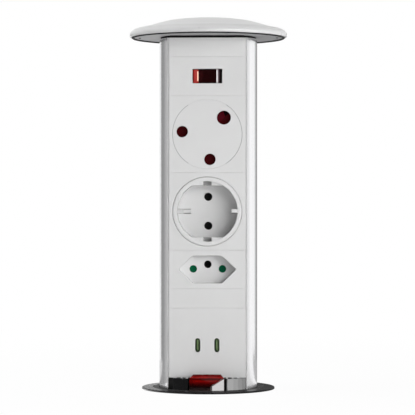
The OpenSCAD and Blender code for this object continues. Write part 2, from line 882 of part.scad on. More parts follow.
module type_m_housing() {
    bore_more = contact_wall + fit;
    color(black_plastic)
        type_m_frame()
            difference() {
                union() {
                    difference() {
                        translate([0, 0, insert_t])
                            cylinder(r = m_housing_r, h = m_floor_d + m_base_d - insert_t);
                        translate([0, 0, insert_t - 1])
                            cylinder(r = m_shutter_r + shutter_gap, h = m_floor_d - insert_t + 1);
                        translate([0, 0, m_floor_d - 1])
                            cylinder(r = m_spring_r + wire_r + spring_room, h = m_pocket_d + 1);
                    }
                    translate([0, 0, insert_t + fit])
                        cylinder(r = m_pivot_r, h = m_floor_d + m_base_d - insert_t - fit);
                    for (pin = M_PINS)
                        at_polar(m_ring, pin[0])
                            translate([0, 0, m_floor_d])
                                cylinder(r = pin[1] + bore_more + contact_cover, h = pin[2] + contact_cover);
                }
                for (pin = M_PINS)
                    at_polar(m_ring, pin[0])
                        translate([0, 0, m_floor_d - root_lap])
                            cylinder(r = pin[1] + bore_more, h = pin[2] + root_lap);
            }
}

module type_m_contacts() {
    color(brass)
        type_m_frame()
            for (pin = M_PINS)
                at_polar(m_ring, pin[0])
                    translate([0, 0, m_floor_d + 2 * fit])
                        tube(pin[1] + contact_wall, pin[1], pin[2] - 4 * fit);
}

module type_f_plate() {
    insert_plate(TYPE_F);
}

// Recessed cup with two flat ledges, a notch in each, pin holes, and slots and grooves for the earth clips
module type_f_cup() {
    color(pale_plastic)
        front_frame(middle(TYPE_F))
            difference() {
                union() {
                    insert_rim();
                    cylinder(r = f_rear_r, h = f_back);
                }
                translate([0, 0, -1])
                    cylinder(r = f_recess_r, h = f_ledge_d + 1);
                intersection() {
                    cylinder(r = f_recess_r, h = f_recess_d);
                    cube([4 * f_recess_r, 2 * f_ledge, 4 * f_recess_d], center = true);
                }
                intersection() {
                    cylinder(r = f_recess_r, h = f_notch_d);
                    cube([f_notch_w, 4 * f_recess_r, 4 * f_notch_d], center = true);
                }
                for (side = [-1, 1])
                    translate([0, side * f_pin_gap / 2, 0])
                        cylinder(r = f_pin_r + f_pin_play, h = f_back + 1);
                for (side = [0, 1])
                    mirror([side, 0, 0]) {
                        translate([f_recess_r - 1, -f_clip_w / 2 - fit, f_ledge_d])
                            cube([1 + 1.5 * f_clip_t + 2 * fit, f_clip_w + 2 * fit, f_back]);
                        translate([f_recess_r - f_groove, -f_clip_w / 2 - fit, f_recess_d - 1])
                            cube([f_groove, f_clip_w + 2 * fit, f_groove_d + 1]);
                    }
            }
}

// One bent strip: it crosses behind the cup and springs forward on both sides
module type_f_earth_clip() {
    bridge_d = f_back + fit + f_clip_t / 2;
    half = [[f_clip_x, bridge_d], [f_clip_x, f_recess_d / 2],
        [f_recess_r - f_clip_in, f_recess_d / 3], [f_recess_r + f_clip_t / 2, f_ledge_d + 1]];
    mirrored = [for (i = [len(half) - 1 : -1 : 0]) [-half[i][0], half[i][1]]];
    color(steel)
        front_frame(middle(TYPE_F))
            translate([0, f_clip_w / 2, 0])
                rotate([90, 0, 0])
                    linear_extrude(f_clip_w)
                        strip_2d(concat(mirrored, half), f_clip_t);
}

module type_f_housing() {
    color(black_plastic)
        intersection() {
            front_frame(middle(TYPE_F))
                translate([0, 0, f_back + fit])
                    difference() {
                        cylinder(r = f_rear_r, h = f_rear_d);
                        cube([4 * f_rear_r, f_clip_w + 4 * fit, 2 * (f_clip_t + fit)], center = true);
                        for (side = [-1, 1])
                            translate([0, side * f_pin_gap / 2, -1])
                                cylinder(r = f_pin_r + contact_wall + fit, h = f_rear_d);
                    }
            translate([0, 0, bottom(TYPE_F)])
                cylinder(r = spigot_r, h = unit_h * UNITS[TYPE_F]);
        }
}

module type_f_contacts() {
    color(brass)
        front_frame(middle(TYPE_F))
            for (side = [-1, 1])
                translate([0, side * f_pin_gap / 2, f_back + 2 * fit])
                    tube(f_pin_r + contact_wall, f_pin_r, f_rear_d - 1 - 2 * fit);
}

// Plate moulded in one piece with its six-sided cup
module type_n_plate() {
    color(pale_plastic)
        difference() {
            union() {
                module_plate(TYPE_N);
                front_frame(middle(TYPE_N))
                    translate([0, 0, plate_t - root_lap])
                        linear_extrude(n_back - plate_t + root_lap)
                            polygon(round_outline(N_CENTRES, n_corner_r + n_wall));
            }
            front_frame(middle(TYPE_N)) {
                translate([0, 0, -1])
                    linear_extrude(n_depth + 1)
                        polygon(round_outline(N_CENTRES, n_corner_r));
                for (pin = N_PINS)
                    translate([pin[0], pin[1], 0])
                        cylinder(r = n_hole_r, h = n_back + 1);
            }
        }
}

// Sliding shutter: two pads over the line and neutral holes, joined below the earth hole
module type_n_shutter() {
    pad_low = n_pin_gap / 2 - n_pad;
    color(green_plastic)
        front_frame(middle(TYPE_N))
            translate([0, 0, n_shutter_d])
                linear_extrude(shutter_t)
                    union() {
                        for (side = [-1, 1])
                            translate([side * n_pin_gap / 2, 0])
                                square(2 * n_pad, center = true);
                        translate([-pad_low - 1, -n_pad])
                            square([2 * pad_low + 2, n_pad + n_bridge_top]);
                    }
}

module type_n_spring() {
    turns = 6;
    low = n_chamber_low - wire_r - fit;
    high = n_pad + wire_r + fit;
    color(steel)
        front_frame(middle(TYPE_N))
            translate([0, -low, n_shutter_d + shutter_t / 2])
                rotate([-90, 0, 0])
                    coil(n_spring_r, (low - high) / turns, turns);
}

module type_n_housing() {
    chamber_x = n_pin_gap / 2 + n_pad + shutter_gap;
    chamber_top = n_pad + shutter_gap;
    bore_d = n_chamber_d + n_contact_len - n_back;
    color(black_plastic)
        front_frame(middle(TYPE_N))
            difference() {
                translate([-n_rear_w, -n_rear_h, n_back])
                    cube([2 * n_rear_w, 2 * n_rear_h, n_rear_d]);
                translate([-chamber_x, -n_chamber_low, n_back - 1])
                    cube([2 * chamber_x, n_chamber_low + chamber_top, n_chamber_d - n_back + 1]);
                for (pin = N_PINS)
                    translate([pin[0], pin[1], n_back - 1])
                        cylinder(r = n_pin_r + contact_wall + fit, h = bore_d + 1);
            }
}

module type_n_contacts() {
    color(brass)
        front_frame(middle(TYPE_N))
            for (pin = N_PINS)
                translate([pin[0], pin[1], n_chamber_d + fit])
                    tube(n_pin_r + contact_wall, n_pin_r, n_contact_len - 2 * fit);
}

// Upright slot with round ends
module slot_2d(long, short) {
    reach = (long - short) / 2;
    polygon(round_outline([[0, -reach], [0, reach]], short / 2, 12));
}

// Places children at both ports
module at_ports() {
    front_frame(usb_z)
        for (side = [-1, 1])
            translate([side * usb_gap / 2, 0, 0])
                children();
}

module usb_plate() {
    color(pale_plastic)
        difference() {
            union() {
                module_plate(USB);
                front_frame(middle(USB))
                    for (x = [-post_x, post_x])
                        for (y = [-post_x / 2, post_x / 2])
                            translate([x, y, plate_t - root_lap])
                                cylinder(r = post_r, h = board_d - plate_t + root_lap);
            }
            at_ports()
                translate([0, 0, -1])
                    linear_extrude(plate_t + 2)
                        slot_2d(usb_long + 2 * fit, usb_short + 2 * fit);
        }
}

module usb_shells() {
    color(steel)
        at_ports()
            translate([0, 0, usb_set])
                linear_extrude(usb_shell_d)
                    difference() {
                        slot_2d(usb_long, usb_short);
                        slot_2d(usb_long - 2 * usb_shell_t, usb_short - 2 * usb_shell_t);
                    }
}

module usb_tongues() {
    inner = 2 * usb_shell_t + fit;
    color(green_plastic)
        at_ports()
            translate([0, 0, usb_set]) {
                translate([-tongue_t / 2, -tongue_w / 2, tongue_set])
                    cube([tongue_t, tongue_w, usb_shell_d - tongue_set]);
                translate([0, 0, usb_shell_d - plug_d])
                    linear_extrude(plug_d)
                        slot_2d(usb_long - inner, usb_short - inner);
            }
}

module usb_board() {
    color(green_plastic)
        front_frame(middle(USB))
            translate([-board_x, -board_x, board_d])
                cube([board_w, board_w, board_t]);
}

module usb_tray() {
    inner = board_w - 2 * tray_wall;
    color(black_plastic)
        front_frame(middle(USB))
            difference() {
                translate([-board_x, -board_x, board_d + board_t])
                    cube([board_w, board_w, tray_d]);
                translate([-inner / 2, -inner / 2, board_d + board_t - 1])
                    cube([inner, inner, tray_d - tray_wall + 1]);
            }
}

// Screw with a pan head, its head's seat at z = 0 and its shank towards -z
module screw(length) {
    translate([0, 0, -length])
        cylinder(r = screw_r, h = length + screw_head_h / 2);
    cylinder(r = screw_head_r, h = screw_head_h);
}

module channel_holes(z, h) {
    for (angle = CHANNEL_ANGLES)
        at_polar(channel_ring, angle)
            translate([0, 0, z])
                cylinder(r = channel_hole_r, h = h);
}

module head_spacer() {
    color(black_plastic)
        difference() {
            union() {
                translate([0, 0, stack_top])
                    linear_extrude(head_t)
                        difference() {
                            tower_outline_2d(head_inset);
                            key_2d();
                        }
                translate([0, 0, stack_top - spigot_h])
                    spigot(spigot_h + head_t / 2);
            }
            channel_holes(stack_top - 1, head_t + 2);
        }
}

module cap_base() {
    color(grey_plastic)
        difference() {
            translate([0, 0, cap_z])
                cylinder(r = cap_base_r, h = cap_base_t);
            channel_holes(cap_z - 1, cap_base_t + 2);
        }
}

module cap_seal() {
    color(rubber)
        translate([0, 0, cap_z - seal_out])
            tube(cap_inner_r - fit, cap_base_r + fit, cap_base_t + seal_out);
}

module cap_screws() {
    color(steel)
        for (angle = CHANNEL_ANGLES)
            at_polar(channel_ring, angle)
                translate([0, 0, cap_z + cap_base_t])
                    screw(cap_base_t + head_t + screw_bite);
}

// Height of the cap's top at radius r: a shallow ring with a raised middle
function ease(u) = u * u * (3 - 2 * u);
function crown_share(r) = 1 - ease(min(1, max(0, (r - crown_r) / (crown_foot_r - crown_r))));
function ring_top(r) = ring_h + ring_rise * (1 - pow(r / dome_r, 2));
function dome(r) = ring_top(r) + (crown_h - ring_h - ring_rise) * crown_share(r);
dome_steps = 30;
arc_steps = 8;

module cap_shell() {
    shelf = cap_base_t + fit;
    color(satin_silver)
        translate([0, 0, cap_z])
            rotate_extrude()
                polygon(concat(
                    [for (k = [0 : dome_steps])
                        let (r = dome_r * k / dome_steps)
                        [r, dome(r)]],
                    [for (k = [1 : arc_steps])
                        let (a = 90 - 90 * k / arc_steps)
                        [dome_r + rim_w * cos(a), rim_h + (ring_h - rim_h) * sin(a)]],
                    [for (k = [1 : arc_steps])
                        let (a = -90 * k / arc_steps)
                        [cap_r - rim_under + rim_under * cos(a), rim_h + rim_h * sin(a)]],
                    [[cap_inner_r, 0], [cap_inner_r, shelf], [cap_base_r - 1, shelf]],
                    [for (k = [dome_steps - 2 : -1 : 0])
                        let (r = dome_r * k / dome_steps)
                        [r, dome(r) - cap_wall]]));
}

// The tower's circle below the desk top, drawn in above it
module foot_round() {
    drawn_h = latch_top + 1 - flange_t;
    translate([0, 0, base_top - 1])
        cylinder(r = tower_r, h = flange_t + 1 - base_top);
    translate([0, 0, flange_t])
        cylinder(r1 = tower_r, r2 = tower_r - drawn_h * tan(foot_draft), h = drawn_h);
}

// Black segment that fills the flat front out to the tower's circle
module foot_block() {
    vent_d = 2;
    vent_y = front_y - 2.2;
    vent_side = 2.6;
    vent_step = 1.6 * vent_w;
    color(black_plastic)
        difference() {
            intersection() {
                foot_round();
                translate([-plate_w / 2, -2 * tower_r, base_top])
                    cube([plate_w, 2 * tower_r + front_y - fit, foot_top - base_top]);
            }
            translate([-pocket_x, -2 * tower_r, pocket_z])
                cube([2 * pocket_x, 2 * tower_r, foot_top - pocket_z + 1]);
            translate([0, latch_pivot_y, latch_pivot_z])
                rotate([0, 90, 0])
                    cylinder(r = pin_r + pin_play, h = 2 * (pin_half + fit), center = true);
            for (side = [-1, 1]) {
                for (k = [0 : 2])
                    translate([side * (pocket_x + vent_side + k * vent_step), vent_y, foot_top])
                        cube([vent_w, vent_w / 2, 2 * vent_d], center = true);
                translate([side * foot_screw_x, foot_screw_y, base_top - 1])
                    cylinder(r = channel_hole_r, h = screw_bite + 2);
            }
        }
}

// Finger latch: a round-fronted head with a slanted finger face, on a shank that swings on its pin
module release_latch() {
    x = latch_w / 2;
    head_low = -latch_head_deep;
    color(clear_red)
        difference() {
            union() {
                intersection() {
                    rotate([90, 0, 90])
                        translate([0, 0, -x])
                            linear_extrude(latch_w)
                                polygon([[finger_y + (head_low - finger_z) * finger_slope, head_low],
                                    [bevel_y, bevel_z], [bevel_y + latch_bevel_d, latch_top],
                                    [latch_back, latch_top], [latch_back, head_low]]);
                    translate([0, 0, head_low])
                        rotate([90, 0, 0])
                            linear_extrude(2 * tower_r)
                                polygon([[-x, 0], [x, 0], [x, latch_top - head_low - latch_corner],
                                    [x - latch_corner, latch_top - head_low],
                                    [latch_corner - x, latch_top - head_low],
                                    [-x, latch_top - head_low - latch_corner]]);
                    foot_round();
                }
                translate([-shank_w / 2, latch_back - shank_t, latch_pivot_z])
                    cube([shank_w, shank_t, head_low + 1 - latch_pivot_z]);
                translate([0, latch_pivot_y, latch_pivot_z])
                    rotate([0, 90, 0])
                        cylinder(r = shank_t / 2, h = shank_w, center = true);
            }
            translate([0, latch_pivot_y, latch_pivot_z])
                rotate([0, 90, 0])
                    cylinder(r = pin_r + pin_play, h = 2 * shank_w, center = true);
        }
}

module latch_pin() {
    color(steel)
        translate([0, latch_pivot_y, latch_pivot_z])
            rotate([0, 90, 0])
                cylinder(r = pin_r, h = 2 * pin_half, center = true);
}

// Spring strip behind the latch: two teeth reach forward into the guide sleeve's windows
module catch_spring() {
    floor_z = pocket_z + catch_t / 2;
    tooth_z = -tooth_deep;
    leaf = leaf_y + catch_t / 2;
    half = tooth_x + tooth_w;
    color(steel) {
        translate([-half, 0, 0])
            rotate([90, 0, 90])
                linear_extrude(2 * half)
                    strip_2d([[leaf - leaf_foot, floor_z], [leaf, floor_z], [leaf, tooth_z]], catch_t);
        for (side = [0, 1])
            mirror([side, 0, 0])
                translate([tooth_x, 0, 0])
                    rotate([90, 0, 90])
                        linear_extrude(tooth_w)
                            strip_2d([[leaf, tooth_z - 1], [leaf, tooth_z], [tooth_tip, tooth_z]], catch_t);
    }
}

module base_plate() {
    color(black_plastic)
        difference() {
            union() {
                translate([0, 0, base_top - base_t])
                    cylinder(r = bore_r + stop_lap, h = base_t);
                translate([0, 0, base_top - 1])
                    spigot(spigot_h + 1);
            }
            channel_holes(base_top - base_t - 1, base_t + 2);
            for (side = [-1, 1])
                translate([side * foot_screw_x, foot_screw_y, base_top - base_t - 1])
                    cylinder(r = channel_hole_r, h = base_t + 2);
            translate([0, 0, base_top - base_t - 1])
                cylinder(r = gland_r + fit, h = base_t + spigot_h + 2);
        }
}

module base_screws() {
    color(steel)
        translate([0, 0, base_top - base_t])
            mirror([0, 0, 1]) {
                for (angle = CHANNEL_ANGLES)
                    at_polar(channel_ring, angle)
                        screw(base_t + screw_bite);
                for (side = [-1, 1])
                    translate([side * foot_screw_x, foot_screw_y, 0])
                        screw(base_t + screw_bite);
            }
}

gland_seat = base_top - base_t;
gland_low = gland_seat - gland_body_h;
lock_seat = base_top + spigot_h;
gland_top = lock_seat + lock_nut_h + 1;
module cable_gland() {
    color(black_plastic)
        difference() {
            union() {
                translate([0, 0, gland_low])
                    cylinder(r = gland_hex_r, h = gland_body_h, $fn = 6);
                translate([0, 0, gland_seat - 1])
                    cylinder(r = gland_r, h = gland_top + 1 - gland_seat);
            }
            translate([0, 0, gland_low - 1])
                cylinder(r = cable_r + 4 * cable_play, h = gland_top - gland_low + 2);
        }
}

module gland_nut() {
    dome_h = gland_nut_h / 2;
    mouth_wall = 2;
    color(black_plastic)
        translate([0, 0, gland_low - gland_nut_h])
            difference() {
                union() {
                    translate([0, 0, dome_h])
                        cylinder(r = gland_hex_r, h = gland_nut_h - dome_h, $fn = 6);
                    cylinder(r1 = cable_r + mouth_wall, r2 = gland_hex_r * cos(30), h = dome_h + root_lap);
                }
                translate([0, 0, -1])
                    cylinder(r = cable_r + cable_play, h = gland_nut_h + 2);
            }
}

module gland_lock_nut() {
    color(black_plastic)
        translate([0, 0, lock_seat])
            difference() {
                cylinder(r = gland_hex_r, h = lock_nut_h, $fn = 6);
                translate([0, 0, -1])
                    cylinder(r = gland_r + fit, h = lock_nut_h + 2);
            }
}

// Threaded collar with a thin flange that lies on the desk
module flange_collar() {
    lip_floor = flange_t - sleeve_lip_t;
    lip_r = sleeve_r + sleeve_lip + fit;
    groove_in = seal_mid - flange_seal_w / 2 - fit;
    groove_out = seal_mid + flange_seal_w / 2 + fit;
    groove_h = flange_seal_h + fit;
    color(dark_metal)
        rotate_extrude()
            polygon([[collar_bore, -collar_len], [thread_r, -collar_len], [thread_r, -register_len],
                [collar_r, -register_len], [collar_r, 0], [groove_in, 0], [groove_in, groove_h],
                [groove_out, groove_h], [groove_out, 0], [flange_r, 0], [flange_r, flange_t - flange_bevel],
                [flange_r - flange_bevel, flange_t], [lip_r, flange_t], [lip_r, lip_floor],
                [collar_bore, lip_floor]]);
}

module flange_seal() {
    color(rubber)
        tube(seal_mid + flange_seal_w / 2, seal_mid - flange_seal_w / 2, flange_seal_h);
}

// Plain bearing sleeve with the key rib and the windows that the catch snaps into
module guide_sleeve() {
    lip_floor = flange_t - sleeve_lip_t;
    key_play = 0.25;
    window_h = catch_t + 2 * tooth_room;
    window_w = tooth_w + 2 * tooth_room;
    color(black_plastic)
        difference() {
            union() {
                translate([0, 0, -collar_len])
                    tube(sleeve_r, bore_r, collar_len + flange_t);
                translate([0, 0, lip_floor])
                    tube(sleeve_r + sleeve_lip, bore_r, sleeve_lip_t);
                translate([-key_w / 2 + key_play, key_floor + key_play, -collar_len])
                    cube([key_w - 2 * key_play, key_d + slide_gap + sleeve_wall / 2, collar_len + flange_t]);
            }
            for (side = [0, 1])
                mirror([side, 0, 0])
                    translate([tooth_x - tooth_room, -2 * tower_r, -tooth_deep - window_h / 2])
                        cube([window_w, 2 * tower_r + front_y, window_h]);
        }
}

module clamp_washer() {
    washer_in = 1;
    color(steel)
        translate([0, 0, -desk_t - washer_t])
            tube(nut_r - washer_in, collar_r + thread_gap, washer_t);
}

module clamp_nut() {
    scallop_out = 0.6;
    color(black_plastic)
        translate([0, 0, -desk_t - washer_t - nut_h])
            difference() {
                tube(nut_r, nut_bore, nut_h);
                for (k = [0 : scallops - 1])
                    at_polar(nut_r + scallop_out * scallop_r, 360 * (k + 0.5) / scallops)
                        translate([0, 0, -1])
                            cylinder(r = scallop_r, h = nut_h + 2);
            }
}

// Insulating rail along the tower's back, with a groove for each bar
module bus_carrier() {
    color(white_plastic)
        translate([0, 0, bar_low])
            linear_extrude(bar_high - bar_low)
                difference() {
                    translate([-carrier_x, carrier_front])
                        square([2 * carrier_x, carrier_d]);
                    for (k = [-1 : 1])
                        translate([k * bar_gap - bar_w / 2 - fit, carrier_front - 1])
                            square([bar_w + 2 * fit, bar_d + 1 + fit]);
                }
}

module bus_bars() {
    color(copper)
        translate([0, 0, bar_low])
            for (k = [-1 : 1])
                translate([k * bar_gap - bar_w / 2, carrier_front, 0])
                    cube([bar_w, bar_d, bar_high - bar_low]);
}

flange_collar();
flange_seal();
guide_sleeve();
clamp_washer();
clamp_nut();
tower_profile();
head_spacer();
cap_base();
cap_shell();
cap_seal();
cap_screws();
upper_blank_plate();
switch_plate();
switch_housing();
switch_rocker();
switch_lamp();
switch_terminals();
type_m_plate();
type_m_insert();
type_m_shutter();
type_m_spring();
type_m_housing();
type_m_contacts();
type_f_plate();
type_f_cup();
type_f_earth_clip();
type_f_housing();
type_f_contacts();
type_n_plate();
type_n_shutter();
type_n_spring();
type_n_housing();
type_n_contacts();
lower_blank_plate();
usb_plate();
usb_shells();
usb_tongues();
usb_board();
usb_tray();
lower_plate();
foot_block();
release_latch();
latch_pin();
catch_spring();
base_plate();
base_screws();
cable_gland();
gland_nut();
gland_lock_nut();
bus_carrier();
bus_bars();
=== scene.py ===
"""Dresses the pop-up desk socket: its finishes, its fine pieces and the studio round it.

The part's own frame is kept: the origin is on the tower's axis at the desk top, +Z is up and the
sockets face -Y. Sizes in the sub-assemblies are in millimetres, those of the studio in metres.
"""

from __future__ import annotations

import logging
import math
from dataclasses import dataclass, field
from enum import Enum, IntEnum
from typing import Iterable, Sequence

import bmesh
import bpy
from bmesh.types import BMEdge, BMesh, BMFace, BMVert
from bpy.types import ID, Material, Mesh, Node, NodeSocket, Object, World
from mathutils import Matrix, Vector


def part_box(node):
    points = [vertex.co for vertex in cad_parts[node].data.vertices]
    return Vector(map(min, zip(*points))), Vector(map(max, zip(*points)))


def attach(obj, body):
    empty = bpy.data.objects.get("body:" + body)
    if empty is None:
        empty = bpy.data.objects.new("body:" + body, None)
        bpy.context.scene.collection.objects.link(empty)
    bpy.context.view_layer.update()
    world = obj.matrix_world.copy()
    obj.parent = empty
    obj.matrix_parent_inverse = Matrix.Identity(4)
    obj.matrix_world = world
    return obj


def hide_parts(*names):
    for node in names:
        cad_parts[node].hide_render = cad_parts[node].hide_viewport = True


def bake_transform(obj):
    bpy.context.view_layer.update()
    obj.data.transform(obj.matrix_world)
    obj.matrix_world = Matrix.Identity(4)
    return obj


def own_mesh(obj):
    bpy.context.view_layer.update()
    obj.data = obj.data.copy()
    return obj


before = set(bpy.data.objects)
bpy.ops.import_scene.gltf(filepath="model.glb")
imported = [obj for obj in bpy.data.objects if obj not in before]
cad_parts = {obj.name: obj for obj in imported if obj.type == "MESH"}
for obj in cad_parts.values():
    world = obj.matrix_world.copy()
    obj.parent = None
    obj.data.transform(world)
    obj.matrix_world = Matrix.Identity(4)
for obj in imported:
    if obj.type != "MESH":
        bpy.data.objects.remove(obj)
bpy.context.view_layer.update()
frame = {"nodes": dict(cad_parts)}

MM = 0.001  # a millimetre in metres
MERGE = 2e-6  # corners nearer than this become one
FLAT = math.radians(0.4)  # faces that bend less than this become one
PATTERN = (0.3, 0.7)  # the range that a noise pattern mostly keeps to
X_AXIS = (1.0, 0.0, 0.0)
Z_AXIS = (0.0, 0.0, 1.0)
ORIGIN = (0.0, 0.0, 0.0)
Pair = tuple[float, float]
Point = Pair
Triple = tuple[float, float, float]
Colour = Triple
log = logging.getLogger("desk_socket")


class Body(Enum):
    """The moving bodies of the part."""

    DESK = "desk_mount"
    TOWER = "tower"
    WASHER = "clamp_washer"
    NUT = "clamp_nut"
    ROCKER = "switch_rocker"
    SHUTTER_M = "type_m_shutter"
    SHUTTER_N = "type_n_shutter"
    LATCH = "release_latch"


class Lay(Enum):
    """Which way the marks of a metal's working run."""

    UPRIGHT = "along the tower"
    ROUND = "round the axis"
    EVEN = "no one way"


class ShutterPart(IntEnum):
    """The parts of the type M shutter, numbered as its finishes are; the ramp takes painted light
    and the shade part a painted shadow.
    """

    PLATE = 0
    RAMP = 1
    SHADE = 2


class ClipPart(IntEnum):
    """The parts of the earth clip, numbered as its finishes are: bright metal, the left clip
    painted dull, and painted shade.
    """

    BRIGHT = 0
    LEFT = 1
    SIDE = 2


class RockerPart(IntEnum):
    """The parts of the rocker, numbered as its finishes are: a painted glow on the lens, painted
    highlights on the glint and the ridge, a painted reflection on the strip and painted shade on
    the end.
    """

    BODY = 0
    LENS = 1
    GLINT = 2
    RIDGE = 3
    STRIP = 4
    END = 5


class NodeSheet:
    """The node tree of a material or a world, with short calls for what they share."""

    def __init__(self, holder: Material | World) -> None:
        """Open a node tree.

        Args:
            holder: The material or world.
        """
        holder.use_nodes = True
        self.holder = holder
        self.tree = holder.node_tree

    def fix(self, values: dict[str, object]) -> None:
        """Set constants on the main shader's own sockets.

        Args:
            values: The value of each socket by name.
        """
        shader = self.tree.nodes["Principled BSDF"]
        for socket, value in values.items():
            shader.inputs[socket].default_value = value

    def add(self, kind: str, source: NodeSocket | None = None,
            values: dict[str | int, object] | None = None, **options: object) -> Node:
        """Add a node.

        Args:
            kind: The node's type name.
            source: What feeds its first socket, if anything does.
            values: Constants for its sockets, by name or number.
            options: The node's own options.

        Returns:
            The new node.
        """
        node = self.tree.nodes.new(kind)
        for key, value in options.items():
            setattr(node, key, value)
        for socket, value in (values or {}).items():
            node.inputs[socket].default_value = value
        if source is not None:
            self.link(source, node.inputs[0])
        return node

    def link(self, source: NodeSocket, target: NodeSocket) -> None:
        """Join two sockets."""
        self.tree.links.new(source, target)

    def feed(self, source: NodeSocket, socket: str) -> None:
        """Join a socket to one of the main shader's."""
        self.link(source, self.tree.nodes["Principled BSDF"].inputs[socket])

    def show(self, shader: NodeSocket) -> None:
        """Make a shader the material's surface."""
        self.link(shader, self.tree.nodes["Material Output"].inputs["Surface"])

    def coords(self, scale: Sequence[float] = (1.0, 1.0, 1.0)) -> NodeSocket:
        """Return the piece's own coordinates, with each axis stretched by its scale."""
        place = self.add("ShaderNodeTexCoord").outputs["Object"]
        return self.add("ShaderNodeMapping", place, {"Scale": scale}).outputs["Vector"]

    def round_coords(self, fine: float, along: float) -> NodeSocket:
        """Give coordinates whose first axis is the distance from the tower's axis.

        Args:
            fine: Stretch of that distance and of the height.
            along: Stretch along the turning marks.

        Returns:
            The coordinates.
        """
        flat = self.coords((1.0, 1.0, 0.0))
        radius = self.add("ShaderNodeVectorMath", flat, operation="LENGTH").outputs["Value"]
        far = self.add("ShaderNodeMath", radius, {1: fine}, operation="MULTIPLY")
        parts = self.add("ShaderNodeSeparateXYZ", self.coords((along, along, fine)))
        joined = self.add("ShaderNodeCombineXYZ", far.outputs[0])
        self.link(parts.outputs["X"], joined.inputs["Y"])
        self.link(parts.outputs["Z"], joined.inputs["Z"])
        return joined.outputs["Vector"]

    def noise(self, vector: NodeSocket, scale: float, detail: float = 2.0) -> NodeSocket:
        """Return a noise pattern on some coordinates, with its fineness and finer layers."""
        values = {"Scale": scale, "Detail": detail}
        return self.add("ShaderNodeTexNoise", vector, values).outputs["Fac"]

    def spread(self, pattern: NodeSocket, low: float, high: float) -> NodeSocket:
        """Return a pattern as numbers from low to high."""
        values = {"From Min": PATTERN[0], "From Max": PATTERN[1], "To Min": low, "To Max": high}
        return self.add("ShaderNodeMapRange", pattern, values).outputs["Result"]

    def roughen(self, pattern: NodeSocket, roughness: float, share: float) -> None:
        """Vary the surface's roughness along a pattern, by a share of it."""
        rough = self.spread(pattern, roughness * (1.0 - share), roughness * (1.0 + share))
        self.feed(rough, "Roughness")

    def tint(self, pattern: NodeSocket, colour: Colour, low: float, high: float) -> None:
        """Vary the surface's shade along a pattern.

        Args:
            pattern: The pattern.
            colour: The middle colour.
            low: What it is multiplied by at the pattern's low end.
            high: What it is multiplied by at the pattern's high end.
        """
        ramp = self.add("ShaderNodeValToRGB", pattern)
        for stop, place, factor in zip(ramp.color_ramp.elements, PATTERN, (low, high)):
            stop.position = place
            stop.color = (*(min(1.0, part * factor) for part in colour), 1.0)
        self.feed(ramp.outputs["Color"], "Base Color")

    def layered(self, factor: NodeSocket, layers: Sequence[tuple[float, Colour]]) -> None:
        """Colour the surface in level layers of painted light and shade.

        Args:
            factor: What each shade is multiplied by.
            layers: Height in millimetres and shade of each layer, from the lowest up.
        """
        low, high = layers[0][0], layers[-1][0]
        height = self.add("ShaderNodeSeparateXYZ", self.coords()).outputs["Z"]
        values = {"From Min": low * MM, "From Max": high * MM}
        share = self.add("ShaderNodeMapRange", height, values)
        ramp = self.add("ShaderNodeValToRGB", share.outputs["Result"])
        for z, _ in layers[1:-1]:
            ramp.color_ramp.elements.new((z - low) / (high - low))
        for stop, (_, colour) in zip(ramp.color_ramp.elements, layers):
            stop.color = (*colour, 1.0)
        scaled = self.add("ShaderNodeVectorMath", ramp.outputs["Color"], operation="SCALE")
        self.link(factor, scaled.inputs["Scale"])
        self.feed(scaled.outputs["Vector"], "Base Color")

    def bump(self, height: NodeSocket, strength: float, depth_mm: float) -> None:
        """Raise the surface along a pattern.

        Args:
            height: The pattern.
            strength: How much of the relief shows.
            depth_mm: The relief's depth.
        """
        values = {"Strength": strength, "Distance": depth_mm * MM}
        node = self.add("ShaderNodeBump", values=values)
        self.link(height, node.inputs["Height"])
        self.feed(node.outputs["Normal"], "Normal")

    def seen_rays(self) -> NodeSocket:
        """Tell the rays that see the background from those that carry its light.

        Returns:
            1 for camera, glossy and transmission rays, else 0.
        """
        path = self.add("ShaderNodeLightPath")
        total = path.outputs["Is Camera Ray"]
        for name in ("Is Glossy Ray", "Is Transmission Ray"):
            both = self.add("ShaderNodeMath", total, operation="MAXIMUM")
            self.link(path.outputs[name], both.inputs[1])
            total = both.outputs[0]
        return total


def grey(level: float) -> Colour:
    """Return a grey of one level."""
    return (level, level, level)


@dataclass(frozen=True)
class Finish:
    """A surface finish, and the record's slot that it belongs to."""

    name: str
    slot: str
    colour: Colour
    roughness: float

    def material(self) -> Material:
        """Return the finish's material, made on first use."""
        made = bpy.data.materials.get(self.name)
        if made is None:
            made = bpy.data.materials.new(self.name)
            sheet = NodeSheet(made)
            sheet.fix({"Base Color": (*self.colour, 1.0), "Roughness": self.roughness})
            self.dress(sheet)
        return made

    def dress(self, sheet: NodeSheet) -> None:
        """Lay out the finish's own nodes; each kind of finish has its own."""
        raise NotImplementedError


@dataclass(frozen=True)
class MouldedPlastic(Finish):
    """Plastic from a mould, with the tool's fine grain and slow drifts of shade."""

    grain_mm: float = 0.25
    grain_depth_mm: float = 0.02
    relief: float = 0.12
    drift_scale: float = 45.0
    detail: float = 3.0
    mottle: float = 0.012
    rough_share: float = 0.1
    specular: float = 0.5
    coat: float = 0.0
    coat_roughness: float = 0.03

    def dress(self, sheet: NodeSheet) -> None:
        """Add the grain, the drift and the gloss."""
        place = sheet.coords()
        grain = sheet.noise(place, 1.0 / (self.grain_mm * MM), self.detail)
        drift = sheet.noise(place, self.drift_scale, self.detail)
        sheet.tint(drift, self.colour, 1.0 - self.mottle, 1.0 + self.mottle)
        sheet.roughen(drift, self.roughness, self.rough_share)
        sheet.bump(grain, self.relief, self.grain_depth_mm)
        sheet.fix({"Specular IOR Level": self.specular, "Coat Weight": self.coat,
                   "Coat Roughness": self.coat_roughness})


